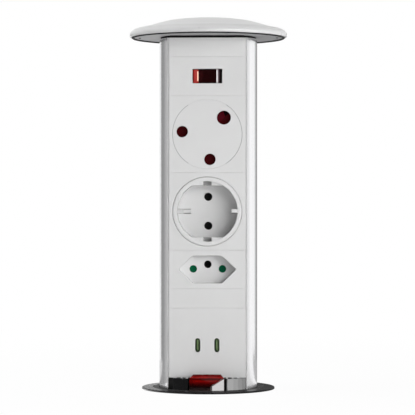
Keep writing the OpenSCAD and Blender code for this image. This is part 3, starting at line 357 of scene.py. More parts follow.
@dataclass(frozen=True)
class WorkedMetal(Finish):
    """Bare or anodised metal with the fine lines of drawing, turning or stamping."""

    lay: Lay = Lay.UPRIGHT
    line_mm: float = 0.12
    line_depth_mm: float = 0.01
    run: float = 160.0
    relief: float = 0.08
    streak: float = 0.05
    streak_scale: float = 0.12
    rough_share: float = 0.2
    metallic: float = 1.0
    specular: float = 0.5

    def dress(self, sheet: NodeSheet) -> None:
        """Add the lines and what they do to colour, gloss and relief."""
        fine = 1.0 / (self.line_mm * MM)
        if self.lay is Lay.UPRIGHT:
            place = sheet.coords((fine, fine, fine / self.run))
        elif self.lay is Lay.ROUND:
            place = sheet.round_coords(fine, fine / self.run)
        else:
            place = sheet.coords((fine, fine, fine))
        lines = sheet.noise(place, 1.0)
        broad = sheet.noise(place, self.streak_scale)
        sheet.tint(broad, self.colour, 1.0 - self.streak, 1.0 + self.streak)
        sheet.roughen(lines, self.roughness, self.rough_share)
        sheet.bump(lines, self.relief, self.line_depth_mm)
        sheet.fix({"Metallic": self.metallic, "Specular IOR Level": self.specular})


@dataclass(frozen=True)
class ClearPlastic(Finish):
    """Tinted see-through plastic with a polished face."""

    clearness: float = 0.8
    ior: float = 1.49
    glow: float = 0.0
    flow_mm: float = 6.0
    flow_depth_mm: float = 0.02
    relief: float = 0.05
    contrast: float = 0.15
    rough_share: float = 0.3
    specular: float = 0.5
    coat: float = 0.3
    coat_roughness: float = 0.02
    coat_ior: float = 1.5
    stretch: float = 1.0
    layers: tuple[tuple[float, Colour], ...] = ()

    def dress(self, sheet: NodeSheet) -> None:
        """Add the tint, its slow flow marks and the polish."""
        low, high = 1.0 - self.contrast, 1.0 + self.contrast
        place = sheet.coords((1.0 / self.stretch, 1.0, 1.0))
        flow = sheet.noise(place, 1.0 / (self.flow_mm * MM))
        if self.layers:
            sheet.layered(sheet.spread(flow, low, high), self.layers)
        else:
            sheet.tint(flow, self.colour, low, high)
        sheet.roughen(flow, self.roughness, self.rough_share)
        sheet.bump(flow, self.relief, self.flow_depth_mm)
        sheet.fix({"Transmission Weight": self.clearness, "IOR": self.ior,
                   "Specular IOR Level": self.specular, "Coat Weight": self.coat,
                   "Coat Roughness": self.coat_roughness, "Coat IOR": self.coat_ior,
                   "Emission Color": (*self.colour, 1.0), "Emission Strength": self.glow})


@dataclass(frozen=True)
class SoftRubber(Finish):
    """Matt rubber with a talc bloom."""

    bloom_scale: float = 300.0
    bloom_detail: float = 4.0
    bloom_shades: Pair = (0.8, 1.3)
    skin_scale: float = 4000.0
    skin_depth_mm: float = 0.02
    relief: float = 0.2
    rough_share: float = 0.1

    def dress(self, sheet: NodeSheet) -> None:
        """Add the bloom and a fine relief."""
        place = sheet.coords()
        bloom = sheet.noise(place, self.bloom_scale, self.bloom_detail)
        sheet.tint(bloom, self.colour, *self.bloom_shades)
        sheet.roughen(bloom, self.roughness, self.rough_share)
        sheet.bump(sheet.noise(place, self.skin_scale), self.relief, self.skin_depth_mm)


PANEL = MouldedPlastic("panel_plastic", "pale_plastic", grey(0.70), 0.45, specular=0.35)
# Painted light: a paler copy of the panel plastic, for the left part of the type N recess.
PANEL_PAINTED_LIGHT = MouldedPlastic("panel_painted_light", "pale_plastic", grey(0.73), 0.45, specular=0.35)
# Painted shade: a darker copy of the panel plastic, for the deep floors in the type F cup.
PANEL_PAINTED_SHADE = MouldedPlastic("panel_painted_shade", "pale_plastic", grey(0.38), 0.6, specular=0.1)
CAP_PAINT = MouldedPlastic("cap_satin", "satin_silver", grey(0.70), 0.30, grain_mm=0.12,
                           relief=0.05)
CAP_GREY = MouldedPlastic("cap_underside", "grey_plastic", (0.34, 0.34, 0.345), 0.55)
BLACK = MouldedPlastic("black_plastic", "black_plastic", (0.022, 0.022, 0.024), 0.5, mottle=0.08)
# The head spacer's own black, and also painted shade: on the foot and at the sides of the type M
# joint.
SPACER_BLACK_AND_PAINTED_SHADE = MouldedPlastic("spacer_black_and_painted_shade", "black_plastic", grey(0.006), 0.7, mottle=0.1,
                              specular=0.1)
GLOSS_BLACK = MouldedPlastic("foot_gloss", "gloss_black", (0.004, 0.004, 0.0045), 0.06,
                             relief=0.01, mottle=0.1, specular=0.9, coat=1.0)
WHITE = MouldedPlastic("carrier_white", "white_plastic", (0.78, 0.78, 0.76), 0.5)
BOARD = MouldedPlastic("board_green", "circuit_board", (0.015, 0.11, 0.045), 0.3, grain_mm=0.6,
                       mottle=0.3)
SHUTTER_RED = MouldedPlastic("shutter_red", "red_shutter", (0.050, 0.002, 0.003), 0.35,
                             relief=0.05, mottle=0.05, specular=0.02)
# Painted light: a brighter red for the shutter's ramp.
RAMP_PAINTED_LIGHT = MouldedPlastic("shutter_ramp_painted_light", "red_shutter", (0.085, 0.003, 0.008), 0.25, relief=0.05,
                          mottle=0.2, specular=0.1)
# Painted shadow in the right corner of the earth hole.
SHUTTER_PAINTED_SHADOW = MouldedPlastic("shutter_painted_shadow", "red_shutter", (0.006, 0.001, 0.001), 0.5,
                               specular=0.02)
SHUTTER_GREEN = MouldedPlastic("shutter_green", "green_shutter", (0.003, 0.105, 0.045), 0.4,
                               relief=0.05, specular=0.02)
TONGUE_GREEN = MouldedPlastic("tongue_green", "green_shutter", (0.21, 0.34, 0.13), 0.35,
                              relief=0.05)
ALUMINIUM = WorkedMetal("drawn_aluminium", "aluminium", (0.91, 0.91, 0.92), 0.19, run=400.0,
                        relief=0.02, streak=0.015)
# Painted shade: a darker, matt copy of the aluminium for the profile's front lip, which shows none
# of its highlight.
PROFILE_LIP_PAINTED_SHADE = WorkedMetal("profile_lip_painted_shade", "aluminium", (0.62, 0.62, 0.625), 0.6, run=400.0,
                        relief=0.02, streak=0.015, metallic=0.0, specular=0.1)
FLANGE = WorkedMetal("flange_dark", "dark_metal", (0.011, 0.011, 0.012), 0.34, lay=Lay.ROUND,
                     metallic=0.0, specular=0.09, streak=0.12)
STEEL = WorkedMetal("bright_steel", "steel", (0.62, 0.62, 0.64), 0.25, lay=Lay.EVEN)
TURNED_STEEL = WorkedMetal("washer_steel", "steel", (0.60, 0.60, 0.62), 0.28, lay=Lay.ROUND)
SHELL_STEEL = WorkedMetal("shell_steel", "steel", (0.05, 0.08, 0.04), 0.4, lay=Lay.EVEN)
CLIP_STEEL = WorkedMetal("clip_bright", "steel", grey(0.90), 0.16, lay=Lay.EVEN, relief=0.02)
# Painted light on the earth clip: the left clip painted dull grey, and painted shade above and
# below the right clip's bright middle.
CLIP_PAINTED_DULL = WorkedMetal("clip_painted_dull", "steel", grey(0.58), 0.6, lay=Lay.EVEN, metallic=0.0,
                         specular=0.05)
CLIP_PAINTED_SHADE = WorkedMetal("clip_painted_shade", "steel", grey(0.20), 0.6, lay=Lay.EVEN, metallic=0.0,
                        specular=0.05)
DULL_BRASS = WorkedMetal("contact_dull_brass", "brass", (0.012, 0.009, 0.005), 0.6, lay=Lay.EVEN,
                         specular=0.1)
BRASS = WorkedMetal("contact_brass", "brass", (0.66, 0.47, 0.20), 0.3, lay=Lay.EVEN)
COPPER = WorkedMetal("bar_copper", "copper", (0.70, 0.33, 0.19), 0.3)
RUBBER = SoftRubber("seal_rubber", "rubber", grey(0.010), 0.8)
# Red with painted light in level bands: a painted glint under the top edge, and painted shade
# darkening towards the bottom.
LATCH_RED_PAINTED_LIGHT = ClearPlastic(
    "latch_red_painted_light", "clear_red", (0.20, 0.005, 0.004), 0.03, clearness=0.2, flow_mm=1.5,
    contrast=0.35, coat=0.0, specular=0.05, stretch=5.0, layers=(
        (0.5, (0.042, 0.030, 0.030)), (2.0, (0.040, 0.024, 0.024)), (3.2, (0.014, 0.005, 0.005)),
        (3.9, (0.016, 0.001, 0.001)), (5.1, (0.050, 0.001, 0.001)), (6.4, (0.130, 0.001, 0.001)),
        (7.4, (0.230, 0.003, 0.002)), (8.3, (0.075, 0.0, 0.0)), (9.0, (0.120, 0.001, 0.001)),
        (9.6, (0.320, 0.012, 0.010)), (10.2, (0.150, 0.0, 0.0)), (11.2, (0.110, 0.002, 0.002))))
# Painted shade: dark and neutral instead of red, in the lower right corner of the latch's front.
LATCH_PAINTED_SHADE = ClearPlastic("latch_painted_shade", "clear_red", (0.020, 0.005, 0.005), 0.03, clearness=0.0,
                           coat=1.0, coat_ior=1.65)
ROCKER_RED = ClearPlastic("rocker_red", "clear_red", (0.016, 0.001, 0.0015), 0.05, clearness=0.1,
                          coat=0.2, specular=0.2)
# Painted light on the rocker: a glint and a highlight on its ridges, a reflection on its strip and
# shade on its end.
RIDGE_PAINTED_GLINT = ClearPlastic("rocker_ridge_painted_glint", "clear_red", (0.95, 0.62, 0.48), 0.12, clearness=0.2,
                         glow=0.7)
RIDGE_PAINTED_HIGHLIGHT = MouldedPlastic("rocker_ridge_painted_highlight", "clear_red", (0.85, 0.82, 0.82), 0.2, relief=0.02)
ROCKER_PAINTED_REFLECTION = MouldedPlastic("rocker_painted_reflection", "clear_red", (0.13, 0.10, 0.11), 0.5, relief=0.02,
                              specular=0.1)
ROCKER_PAINTED_SHADE = MouldedPlastic("rocker_painted_shade", "clear_red", (0.010, 0.004, 0.005), 0.5,
                              relief=0.02, specular=0.05)
# Painted glow in the rocker's lens.
LENS_PAINTED_GLOW = ClearPlastic("rocker_lens_painted_glow", "clear_red", (0.40, 0.02, 0.015), 0.12, clearness=0.2,
                        glow=0.3)
LAMP = ClearPlastic("lamp_clear", "lamp_glass", (0.9, 0.72, 0.62), 0.03, clearness=0.95)


def line_of(bm: BMesh, points: Sequence[Point], closed: bool) -> list[BMEdge]:
    """Draw an outline in the half plane x >= 0, y = 0.

    Args:
        bm: The mesh that takes it.
        points: Distance from the axis and height of each point, in millimetres.
        closed: Whether the last point joins the first.

    Returns:
        The outline's edges.
    """
    verts = [bm.verts.new((r * MM, 0.0, z * MM)) for r, z in points]
    pairs = list(zip(verts, verts[1:])) + ([(verts[-1], verts[0])] if closed else [])
    return [bm.edges.new(pair) for pair in pairs]


def turned(points: Sequence[Point], closed: bool, steps: int = 128) -> BMesh:
    """Turn an outline about the tower's axis.

    Args:
        points: Distance from the axis and height of each point, in millimetres.
        closed: Whether the outline is closed.
        steps: Number of steps round.

    Returns:
        The turned mesh.
    """
    bm = bmesh.new()
    edges = line_of(bm, points, closed)
    bmesh.ops.spin(bm, geom=bm.verts[:] + edges, cent=ORIGIN, axis=Z_AXIS, dvec=ORIGIN,
                   angle=2.0 * math.pi, steps=steps, use_merge=True, use_duplicate=False)
    bmesh.ops.remove_doubles(bm, verts=bm.verts, dist=MERGE)
    bmesh.ops.recalc_face_normals(bm, faces=bm.faces)
    return bm


def bevel(bm: BMesh, edges: list[BMEdge], width_mm: float, segments: int) -> None:
    """Round some edges of a mesh, to a width in millimetres."""
    bmesh.ops.bevel(bm, geom=edges, offset=width_mm * MM, offset_type="OFFSET", segments=segments,
                    profile=0.5, affect="EDGES", clamp_overlap=False, loop_slide=False,
                    material=-1)


def soften(bm: BMesh, width_mm: float, segments: int = 2, angle: float = 35.0) -> BMesh:
    """Round the sharp edges of a mesh.

    Args:
        bm: The mesh.
        width_mm: Width of the rounding.
        segments: Its steps.
        angle: Bend from which an edge counts as sharp, in degrees.

    Returns:
        The same mesh.
    """
    limit = math.radians(angle)
    sharp = [edge for edge in bm.edges if edge.is_manifold and edge.calc_face_angle() > limit]
    bevel(bm, sharp, width_mm, segments)
    return bm


def cut(bm: BMesh, at: Sequence[float], across: Sequence[float]) -> None:
    """Cut a mesh along the plane through a point in millimetres, and keep both sides."""
    bmesh.ops.bisect_plane(bm, geom=bm.verts[:] + bm.edges[:] + bm.faces[:], dist=MERGE,
                           plane_co=Vector(at) * MM, plane_no=across)


def block(bm: BMesh, size: Vector, middle: Vector) -> None:
    """Add a box to a mesh.

    Args:
        bm: The mesh.
        size: The box's lengths in metres.
        middle: Its middle in metres.
    """
    made = bmesh.ops.create_cube(bm, size=1.0)["verts"]
    bmesh.ops.scale(bm, verts=made, vec=size)
    bmesh.ops.translate(bm, verts=made, vec=middle)


def mesh_of(bm: BMesh, name: str) -> Mesh:
    """Make a mesh for an object, and use up the working mesh.

    Args:
        bm: The working mesh.
        name: The new mesh's name.

    Returns:
        The new mesh.
    """
    mesh = bpy.data.meshes.new(name)
    bm.to_mesh(mesh)
    bm.free()
    return mesh


def join(bm: BMesh, other: BMesh) -> None:
    """Add one mesh to another, and use it up.

    Args:
        bm: The mesh that grows.
        other: The mesh that is added.
    """
    held = mesh_of(other, "held")
    bm.from_mesh(held)
    bpy.data.meshes.remove(held)


def put(name: str, data: ID) -> Object:
    """Put a mesh, a light or a camera into the scene.

    Args:
        name: The object's name.
        data: What it shows.

    Returns:
        The object.
    """
    obj = bpy.data.objects.new(name, data)
    bpy.context.scene.collection.objects.link(obj)
    return obj


class Workshop:
    """Makes dressed pieces, and dresses the solids that stay as they are."""

    def __init__(self, nodes: dict[str, Object]) -> None:
        """Take the part's solids.

        Args:
            nodes: The solids by name.
        """
        self.nodes = nodes
        self.count = 0

    def copy_of(self, node: str) -> BMesh:
        """Copy a solid's mesh, with its loose triangles joined.

        Args:
            node: The solid's name.

        Returns:
            The joined copy.
        """
        bm = bmesh.new()
        bm.from_mesh(self.nodes[node].data)
        bmesh.ops.remove_doubles(bm, verts=bm.verts, dist=MERGE)
        bmesh.ops.dissolve_limit(bm, angle_limit=FLAT, verts=bm.verts, edges=bm.edges)
        return bm

    def rounded(self, node: str, width_mm: float, segments: int = 2) -> BMesh:
        """Return a copy of a solid's mesh with its edges rounded."""
        return soften(self.copy_of(node), width_mm, segments)

    def piece(self, bm: BMesh, name: str, body: Body | None, finish: Finish,
              replaces: Iterable[str] = (), also: Sequence[Finish] = ()) -> Object:
        """Make a piece from a mesh.

        Args:
            bm: The mesh, which is used up.
            name: The piece's name.
            body: The body that it rides on, or None for a piece between two bodies, which then
                rides on none.
            finish: Its finish.
            replaces: The solids that it stands for.
            also: More finishes, for faces with a material index above 0.

        Returns:
            The piece.
        """
        for face in bm.faces:
            face.smooth = True
        mesh = mesh_of(bm, name)
        for each in (finish, *also):
            mesh.materials.append(each.material())
        obj = put(name, mesh)
        even = obj.modifiers.new("even_normals", "WEIGHTED_NORMAL")
        even.keep_sharp = True
        if body is not None:
            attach(obj, body.value)
        if replaces:
            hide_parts(*replaces)
        self.count += 1
        log.info("piece %s: %d faces", name, len(mesh.polygons))
        return obj

    def soft_copy(self, node: str, body: Body, finish: Finish, width_mm: float,
                  segments: int = 2) -> None:
        """Stand in for a solid with a copy whose edges are rounded."""
        bm = self.rounded(node, width_mm, segments)
        self.piece(bm, f"{node}_piece", body, finish, (node,))

    def dress(self, node: str, finish: Finish) -> None:
        """Give a solid that stays its finish.

        Args:
            node: The solid's name.
            finish: Its finish.
        """
        obj = self.nodes[node]
        if not obj.material_slots:
            obj.data.materials.append(finish.material())
        for place in obj.material_slots:
            place.material = finish.material()
        log.info("dressed %s in %s", node, finish.name)


@dataclass
class SubAssembly:
    """Pieces that are built together, and the workshop that makes them."""

    shop: Workshop

    def build(self) -> None:
        """Build the pieces; each sub-assembly has its own."""
        raise NotImplementedError


@dataclass
class Cap(SubAssembly):
    """The domed cap with its underside, seal and rubber stops."""

    rim_z: float = 229.7
    rim_r: float = 51.6
    rim_w: float = 6.7
    rim_h: float = 1.5
    rim_under: float = 0.9
    rim_land: float = 0.5
    ring_h: float = 5.9
    ring_rise: float = 5.5
    crown_h: float = 12.8
    crown_r: float = 24.0
    crown_foot_r: float = 44.5
    wall: float = 1.8
    shelf: float = 2.3
    shelf_in: float = 2.6
    base_round: float = 0.2
    seal_r: float = 49.4
    seal_w: float = 1.4
    seal_out: float = 0.8
    seal_d: float = 2.2
    stop_r: float = 45.0
    stop_size: float = 0.9
    stop_in: float = 0.1
    stop_bulge: tuple[Point, ...] = ((0.0, -0.5), (0.6, -0.45), (0.9, -0.2))
    dome_steps: int = 48
    arc_steps: int = 12
    turn_steps: int = 160
    seal_steps: int = 8
    stop_steps: int = 24

    @property
    def dome_r(self) -> float:
        """Return the radius at which the dome meets the rolled rim."""
        return self.rim_r - self.rim_w

    def dome(self, r: float) -> float:
        """Return the height of the cap's top above its rim.

        Args:
            r: The distance from the axis.

        Returns:
            The height.
        """
        u = min(1.0, max(0.0, (r - self.crown_r) / (self.crown_foot_r - self.crown_r)))
        share = 1.0 - u * u * (3.0 - 2.0 * u)
        ring = self.ring_h + self.ring_rise * (1.0 - (r / self.dome_r) ** 2)
        return ring + (self.crown_h - self.ring_h - self.ring_rise) * share

    def outline(self) -> list[Point]:
        """Draw the shell's section.

        Returns:
            Its points, from the crown round the rim to the inside.
        """
        rows = [self.dome_r * k / self.dome_steps for k in range(self.dome_steps + 1)]
        points = [(r, self.dome(r)) for r in rows]
        for k in range(1, self.arc_steps + 1):
            a = math.pi / 2 * (1 - k / self.arc_steps)
            points.append((self.dome_r + self.rim_w * math.cos(a),
                           self.rim_h + (self.ring_h - self.rim_h) * math.sin(a)))
        for k in range(1, self.arc_steps + 1):
            a = -math.pi / 2 * k / self.arc_steps
            points.append((self.rim_r - self.rim_under * (1 - math.cos(a)),
                           self.rim_h * (1 + math.sin(a))))
        inner = self.rim_r - self.rim_under - self.rim_land
        points += [(inner, 0.0), (inner, self.shelf), (inner - self.shelf_in, self.shelf)]
        points += [(r, self.dome(r) - self.wall) for r in reversed(rows[:-2])]
        return [(r, z + self.rim_z) for r, z in points]

    def seal_outline(self) -> list[Point]:
        """Draw the seal's section.

        Returns:
            Its points: a strip with a round lower edge.
        """
        half = self.seal_w / 2
        inner, outer = self.seal_r - half, self.seal_r + half
        low, top = self.rim_z - self.seal_out + half, self.rim_z + self.seal_d
        arc = (math.pi * k / self.seal_steps for k in range(1, self.seal_steps))
        return [(inner, top), (inner, low),
                *((self.seal_r - half * math.cos(a), low - half * math.sin(a)) for a in arc),
                (outer, low), (outer, top)]

    def build(self) -> None:
        """Build the cap."""
        shell = turned(self.outline(), closed=False, steps=self.turn_steps)
        self.shop.piece(shell, "cap_shell_piece", Body.TOWER, CAP_PAINT, ("cap_shell",))
        self.shop.soft_copy("cap_base", Body.TOWER, CAP_GREY, self.base_round)
        seal = turned(self.seal_outline(), closed=True)
        self.shop.piece(seal, "cap_seal_piece", Body.TOWER, RUBBER, ("cap_seal",))
        self.build_stops()
        self.shop.dress("cap_screws", STEEL)

    def build_stops(self) -> None:
        """Build the two small rubber stops under the rim."""
        s = self.stop_size
        outline = [(x * s, z * s) for x, z in self.stop_bulge]
        outline += [(s, self.stop_in), (0.0, self.stop_in)]
        bm = bmesh.new()
        for side in (-1.0, 1.0):
            stop = turned(outline, closed=False, steps=self.stop_steps)
            place = Vector((side * self.stop_r, 0.0, self.rim_z)) * MM
            bmesh.ops.translate(stop, verts=stop.verts, vec=place)
            join(bm, stop)
        self.shop.piece(bm, "cap_stops", Body.TOWER, RUBBER)


@dataclass
class LobeScrew:
    """A pan-head screw with a six-lobe drive, its seat at z = 0 and its head towards +z.

    The head's curve is given in shares of its radius and height.
    """

    shank_r: float = 1.25
    length: float = 17.5
    point: float = 1.0
    head_r: float = 2.6
    head_h: float = 1.8
    head_curve: tuple[Point, ...] = ((0.62, 1.0), (0.82, 0.93), (0.95, 0.72), (1.0, 0.4),
                                     (1.0, 0.0))
    drive_r: float = 1.25
    drive_mouth: float = 1.15
    drive_taper: float = 0.92
    drive_depth: float = 1.0
    lobe: float = 0.14
    lobes: int = 6
    steps: int = 36

    def mesh(self) -> BMesh:
        """Build the screw.

        Returns:
            Its mesh, along +z.
        """
        outline = [(self.drive_r * self.drive_mouth, self.head_h)]
        outline += [(x * self.head_r, z * self.head_h) for x, z in self.head_curve]
        outline += [(self.shank_r, 0.0), (self.shank_r, -self.length + self.point),
                    (0.0, -self.length)]
        bm = turned(outline, closed=False, steps=self.steps)
        loop = [edge for edge in bm.edges if edge.is_boundary]
        taper = self.drive_taper * self.drive_r
        for depth, radius in ((0.0, self.drive_r), (self.drive_depth, taper)):
            made = bmesh.ops.extrude_edge_only(bm, edges=loop)["geom"]
            loop = [item for item in made if isinstance(item, BMEdge) and item.is_boundary]
            for vert in [item for item in made if isinstance(item, BMVert)]:
                a = math.atan2(vert.co.y, vert.co.x)
                size = radius * (1.0 - self.lobe + self.lobe * math.cos(self.lobes * a)) * MM
                height = (self.head_h - depth) * MM
                vert.co = Vector((size * math.cos(a), size * math.sin(a), height))
        bmesh.ops.contextual_create(bm, geom=loop)
        bmesh.ops.recalc_face_normals(bm, faces=bm.faces)
        return bm


@dataclass
class Tower(SubAssembly):
    """The drawn aluminium profile with its head spacer, base plate and screws."""

    base_z: float = -65.8
    channel_ring: float = 27.6
    channel_angles: tuple[float, ...] = (38.0, 64.0, 116.0, 142.0)
    foot_screw: Point = (17.0, -22.330)
    lip_turn: float = -0.66
    profile_round: float = 0.2
    spacer_round: float = 0.15
    # A thin black sheet under the cap's front: a painted shadow that deepens the dark gap above
    # the panel.
    painted_shadow_lip: Triple = (48.0, 3.1, 0.25)
    painted_shadow_lip_at: Triple = (0.0, -19.55, 229.57)
    plate_round: float = 0.5
    plate_steps: int = 3
    screw: LobeScrew = field(default_factory=LobeScrew)

    def build(self) -> None:
        """Build the tower's frame."""
        profile = self.shop.rounded("tower_profile", self.profile_round)
        for face in profile.faces:
            # Painted shade on the front-facing lip faces.
            face.material_index = int(face.normal.y < self.lip_turn)
        self.shop.piece(profile, "tower_profile_piece", Body.TOWER, ALUMINIUM, ("tower_profile",),
                        also=(PROFILE_LIP_PAINTED_SHADE,))
        spacer = self.shop.rounded("head_spacer", self.spacer_round)
        # Painted shadow: the black sheet under the cap's front.
        block(spacer, Vector(self.painted_shadow_lip) * MM, Vector(self.painted_shadow_lip_at) * MM)
        self.shop.piece(spacer, "head_spacer_piece", Body.TOWER, SPACER_BLACK_AND_PAINTED_SHADE, ("head_spacer",))
        self.shop.soft_copy("base_plate", Body.TOWER, BLACK, self.plate_round, self.plate_steps)
        self.build_screws()
        self.shop.dress("bus_carrier", WHITE)
        self.shop.dress("bus_bars", COPPER)

    def screw_places(self) -> list[Point]:
        """Return where the base screws stand."""
        angles = [math.radians(a) for a in self.channel_angles]
        x, y = self.foot_screw
        return [(self.channel_ring * math.cos(a), self.channel_ring * math.sin(a))
                for a in angles] + [(x, y), (-x, y)]

    def build_screws(self) -> None:
        """Build the screws that hold the base plate."""
        bm = bmesh.new()
        over = Matrix.Rotation(math.pi, 3, "X")
        for x, y in self.screw_places():
            screw = self.screw.mesh()
            bmesh.ops.rotate(screw, verts=screw.verts, cent=ORIGIN, matrix=over)
            bmesh.ops.translate(screw, verts=screw.verts, vec=Vector((x, y, self.base_z)) * MM)
            join(bm, screw)
        self.shop.piece(bm, "base_screws_piece", Body.TOWER, STEEL, ("base_screws",))


@dataclass
class Panel(SubAssembly):
    """The plates down the tower's flat front, and what sits behind their openings.

    Sizes that start with m, f or n belong to the socket of that type.
    """

    plates: tuple[str, ...] = ("upper_blank_plate", "switch_plate", "type_m_plate", "type_f_plate",
                               "lower_blank_plate", "usb_plate", "lower_plate")
    housings: tuple[str, ...] = ("type_m_housing", "type_f_housing", "type_n_housing", "usb_tray")
    contacts: tuple[str, ...] = ("type_m_contacts", "type_f_contacts", "type_n_contacts")
    edge: float = 0.06
    front_y: float = -18.930
    joint_w: float = 0.10
    joint_d: float = 0.1
    joint_t: float = 0.5
    insert_r: float = 22.5
    m_middle: float = 166.0
    m_shaded: float = 0.84
    m_shade_at: Triple = (11.6, 0.0, 177.0)
    m_shade_across: Triple = (0.94, 0.0, 0.34)
    m_shade_h: float = 6.0
    m_ramp_facing: Pair = (-0.99, -0.9)
    m_shutter_round: float = 0.15
    f_middle: float = 116.0
    f_rim_round: float = 0.9
    f_rim_steps: int = 4
    f_rim_slack: Pair = (0.01, 0.02)
    f_recess_r: float = 19.6
    f_recess_d: float = 17.5
    f_groove: float = 8.2
    f_groove_d: float = 1.2
    f_groove_floor: Pair = (0.5, 2.0)
    f_guide_w: Pair = (2.1, 3.2)
    f_guide_round: float = 0.1
    f_notch_w: float = 5.4
    f_notch_d: float = 2.0
    f_ledge: float = 16.8
    f_floor_facing: float = -0.9
    f_clip_z: float = 116.3
    f_clip_glint: float = 2.2
    f_clip_round: float = 0.12
    n_lit_x: float = 4.0
    n_travel: float = 5.8
    n_shutter_round: float = 0.2
    usb_shell_round: float = 0.07
    usb_tongue_round: float = 0.1

    def build(self) -> None:
        """Build the plates, and what sits in and behind them."""
        for node in self.plates:
            self.shop.soft_copy(node, Body.TOWER, PANEL, self.edge)
        self.build_recess()
        self.build_joints()
        self.build_insert()
        self.build_cup()
        self.build_guides()
        self.build_shutters()
        self.build_clip()
        self.shop.soft_copy("usb_shells", Body.TOWER, SHELL_STEEL, self.usb_shell_round)
        self.shop.soft_copy("usb_tongues", Body.TOWER, TONGUE_GREEN, self.usb_tongue_round)
        for node in self.housings:
            self.shop.dress(node, BLACK)
        for node in self.contacts:
            self.shop.dress(node, DULL_BRASS)
        self.shop.dress("type_m_spring", STEEL)
        self.shop.dress("usb_board", BOARD)
        self.build_spring()

    def build_recess(self) -> None:
        """Build the type N plate, with painted light: the left part of its recess is a little
        paler.
        """
        recess = self.shop.rounded("type_n_plate", self.edge)
        for face in recess.faces:
            at = face.calc_center_median() / MM
            # Painted light on the recess faces left of n_lit_x.
            face.material_index = int(at.x < self.n_lit_x and at.y > self.front_y + self.edge)
        self.shop.piece(recess, "type_n_plate_piece", Body.TOWER, PANEL, ("type_n_plate",),
                        also=(PANEL_PAINTED_LIGHT,))

    def build_joints(self) -> None:
        """Fill the joints between the plates to just under their faces."""
        nodes = (*self.plates, "type_n_plate")
        boxes = sorted((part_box(node) for node in nodes), key=lambda box: box[0].z)
        middle = (self.front_y + self.joint_d + self.joint_t / 2) * MM
        bm = bmesh.new()
        for (low, below), (above, _) in zip(boxes, boxes[1:]):
            size = Vector((below.x - low.x, self.joint_t * MM, above.z - below.z))
            block(bm, size, Vector((0.0, middle, (above.z + below.z) / 2)))
        self.shop.piece(bm, "plate_joints", Body.TOWER, PANEL)

    def build_insert(self) -> None:
        """Build the type M insert, and fill the joint round it to just under its face; painted
        shade blackens the joint and the insert's edge left and right of it.
        """
        inner, outer = self.insert_r, self.insert_r + self.joint_w
        ring = turned([(inner, 0.0), (outer, 0.0), (outer, self.joint_t), (inner, self.joint_t)],
                      closed=True)
        bmesh.ops.rotate(ring, verts=ring.verts[:], matrix=Matrix.Rotation(-math.pi / 2, 3, "X"))
        place = Vector((0.0, self.front_y + self.joint_d, self.m_middle)) * MM
        bmesh.ops.translate(ring, verts=ring.verts[:], vec=place)
        insert = self.shop.rounded("type_m_insert", self.edge)
        for face in ring.faces[:] + insert.faces[:]:
            # Painted shade on the joint's left and right arcs, not at its top and bottom.
            face.material_index = int(self.in_joint_painted_shade(face.calc_center_median() / MM))
        self.shop.piece(ring, "insert_joint", Body.TOWER, PANEL, also=(SPACER_BLACK_AND_PAINTED_SHADE,))
        self.shop.piece(insert, "type_m_insert_piece", Body.TOWER, PANEL, ("type_m_insert",),
                        also=(SPACER_BLACK_AND_PAINTED_SHADE,))

    def in_joint_painted_shade(self, at: Vector) -> bool:
        """Tell whether a place takes the painted shade in the joint round the type M insert, left
        or right of it.

        Args:
            at: The place, in millimetres.

        Returns:
            True at the insert's edge and in the joint, near the front.
        """
        rise = at.z - self.m_middle
        beside = abs(rise) < self.m_shaded * self.insert_r
        near = at.y < self.front_y + self.joint_d + self.joint_t
        return beside and near and math.hypot(at.x, rise) > self.insert_r - self.edge

    def build_cup(self) -> None:
        """Build the type F cup with its rounded rim, and painted shade on the floors of its
        notches and left grooves.
        """
        cup = self.shop.copy_of("type_f_cup")
        rim = [edge for edge in cup.edges if all(self.on_rim(vert.co / MM) for vert in edge.verts)]
        bevel(cup, rim, self.f_rim_round, self.f_rim_steps)
        soften(cup, self.edge)
        for face in cup.faces:
            # Painted shade on the deep floors.
            face.material_index = int(self.is_deep(face))
        self.shop.piece(cup, "type_f_cup_piece", Body.TOWER, PANEL, ("type_f_cup",),
                        also=(PANEL_PAINTED_SHADE,))

    def on_rim(self, at: Vector) -> bool:
        """Tell whether a point lies on the type F cup's outer front edge.

        Args:
            at: The point, in millimetres.

        Returns:
            True on the edge.
        """
        deep, wide = self.f_rim_slack
        far = math.hypot(at.x, at.z - self.f_middle)
        return abs(at.y - self.front_y) < deep and abs(far - self.insert_r) < wide

    def is_deep(self, face: BMFace) -> bool:
        """Tell whether a face is the floor of a notch or of a left groove of the type F cup, where
        shade is painted.

        Args:
            face: The face.

        Returns:
            True on such a floor.
        """
        at = face.calc_center_median() / MM
        depth = at.y - self.front_y
        notch = (abs(at.x) < self.f_notch_w / 2 and abs(at.z - self.f_middle) > self.f_ledge
                 and depth > self.f_notch_d)
        near, far = (self.f_recess_d + deep for deep in self.f_groove_floor)
        groove = at.x < 0.0 and near < depth < far
        return face.normal.y < self.f_floor_facing and (notch or groove)

    def build_guides(self) -> None:
        """Build the guides in the grooves of the type F cup's floor."""
        guides = bmesh.new()
        depth = self.f_groove_d * MM
        for side, width in zip((-1.0, 1.0), self.f_guide_w):
            middle = Vector((side * (self.f_recess_r - self.f_groove / 2),
                             self.front_y + self.f_recess_d, self.f_middle)) * MM
            size = Vector((self.f_groove * MM, depth, width * MM))
            block(guides, size, middle + Vector((0.0, depth / 2, 0.0)))
        soften(guides, self.f_guide_round)
        self.shop.piece(guides, "type_f_guides", Body.TOWER, PANEL)

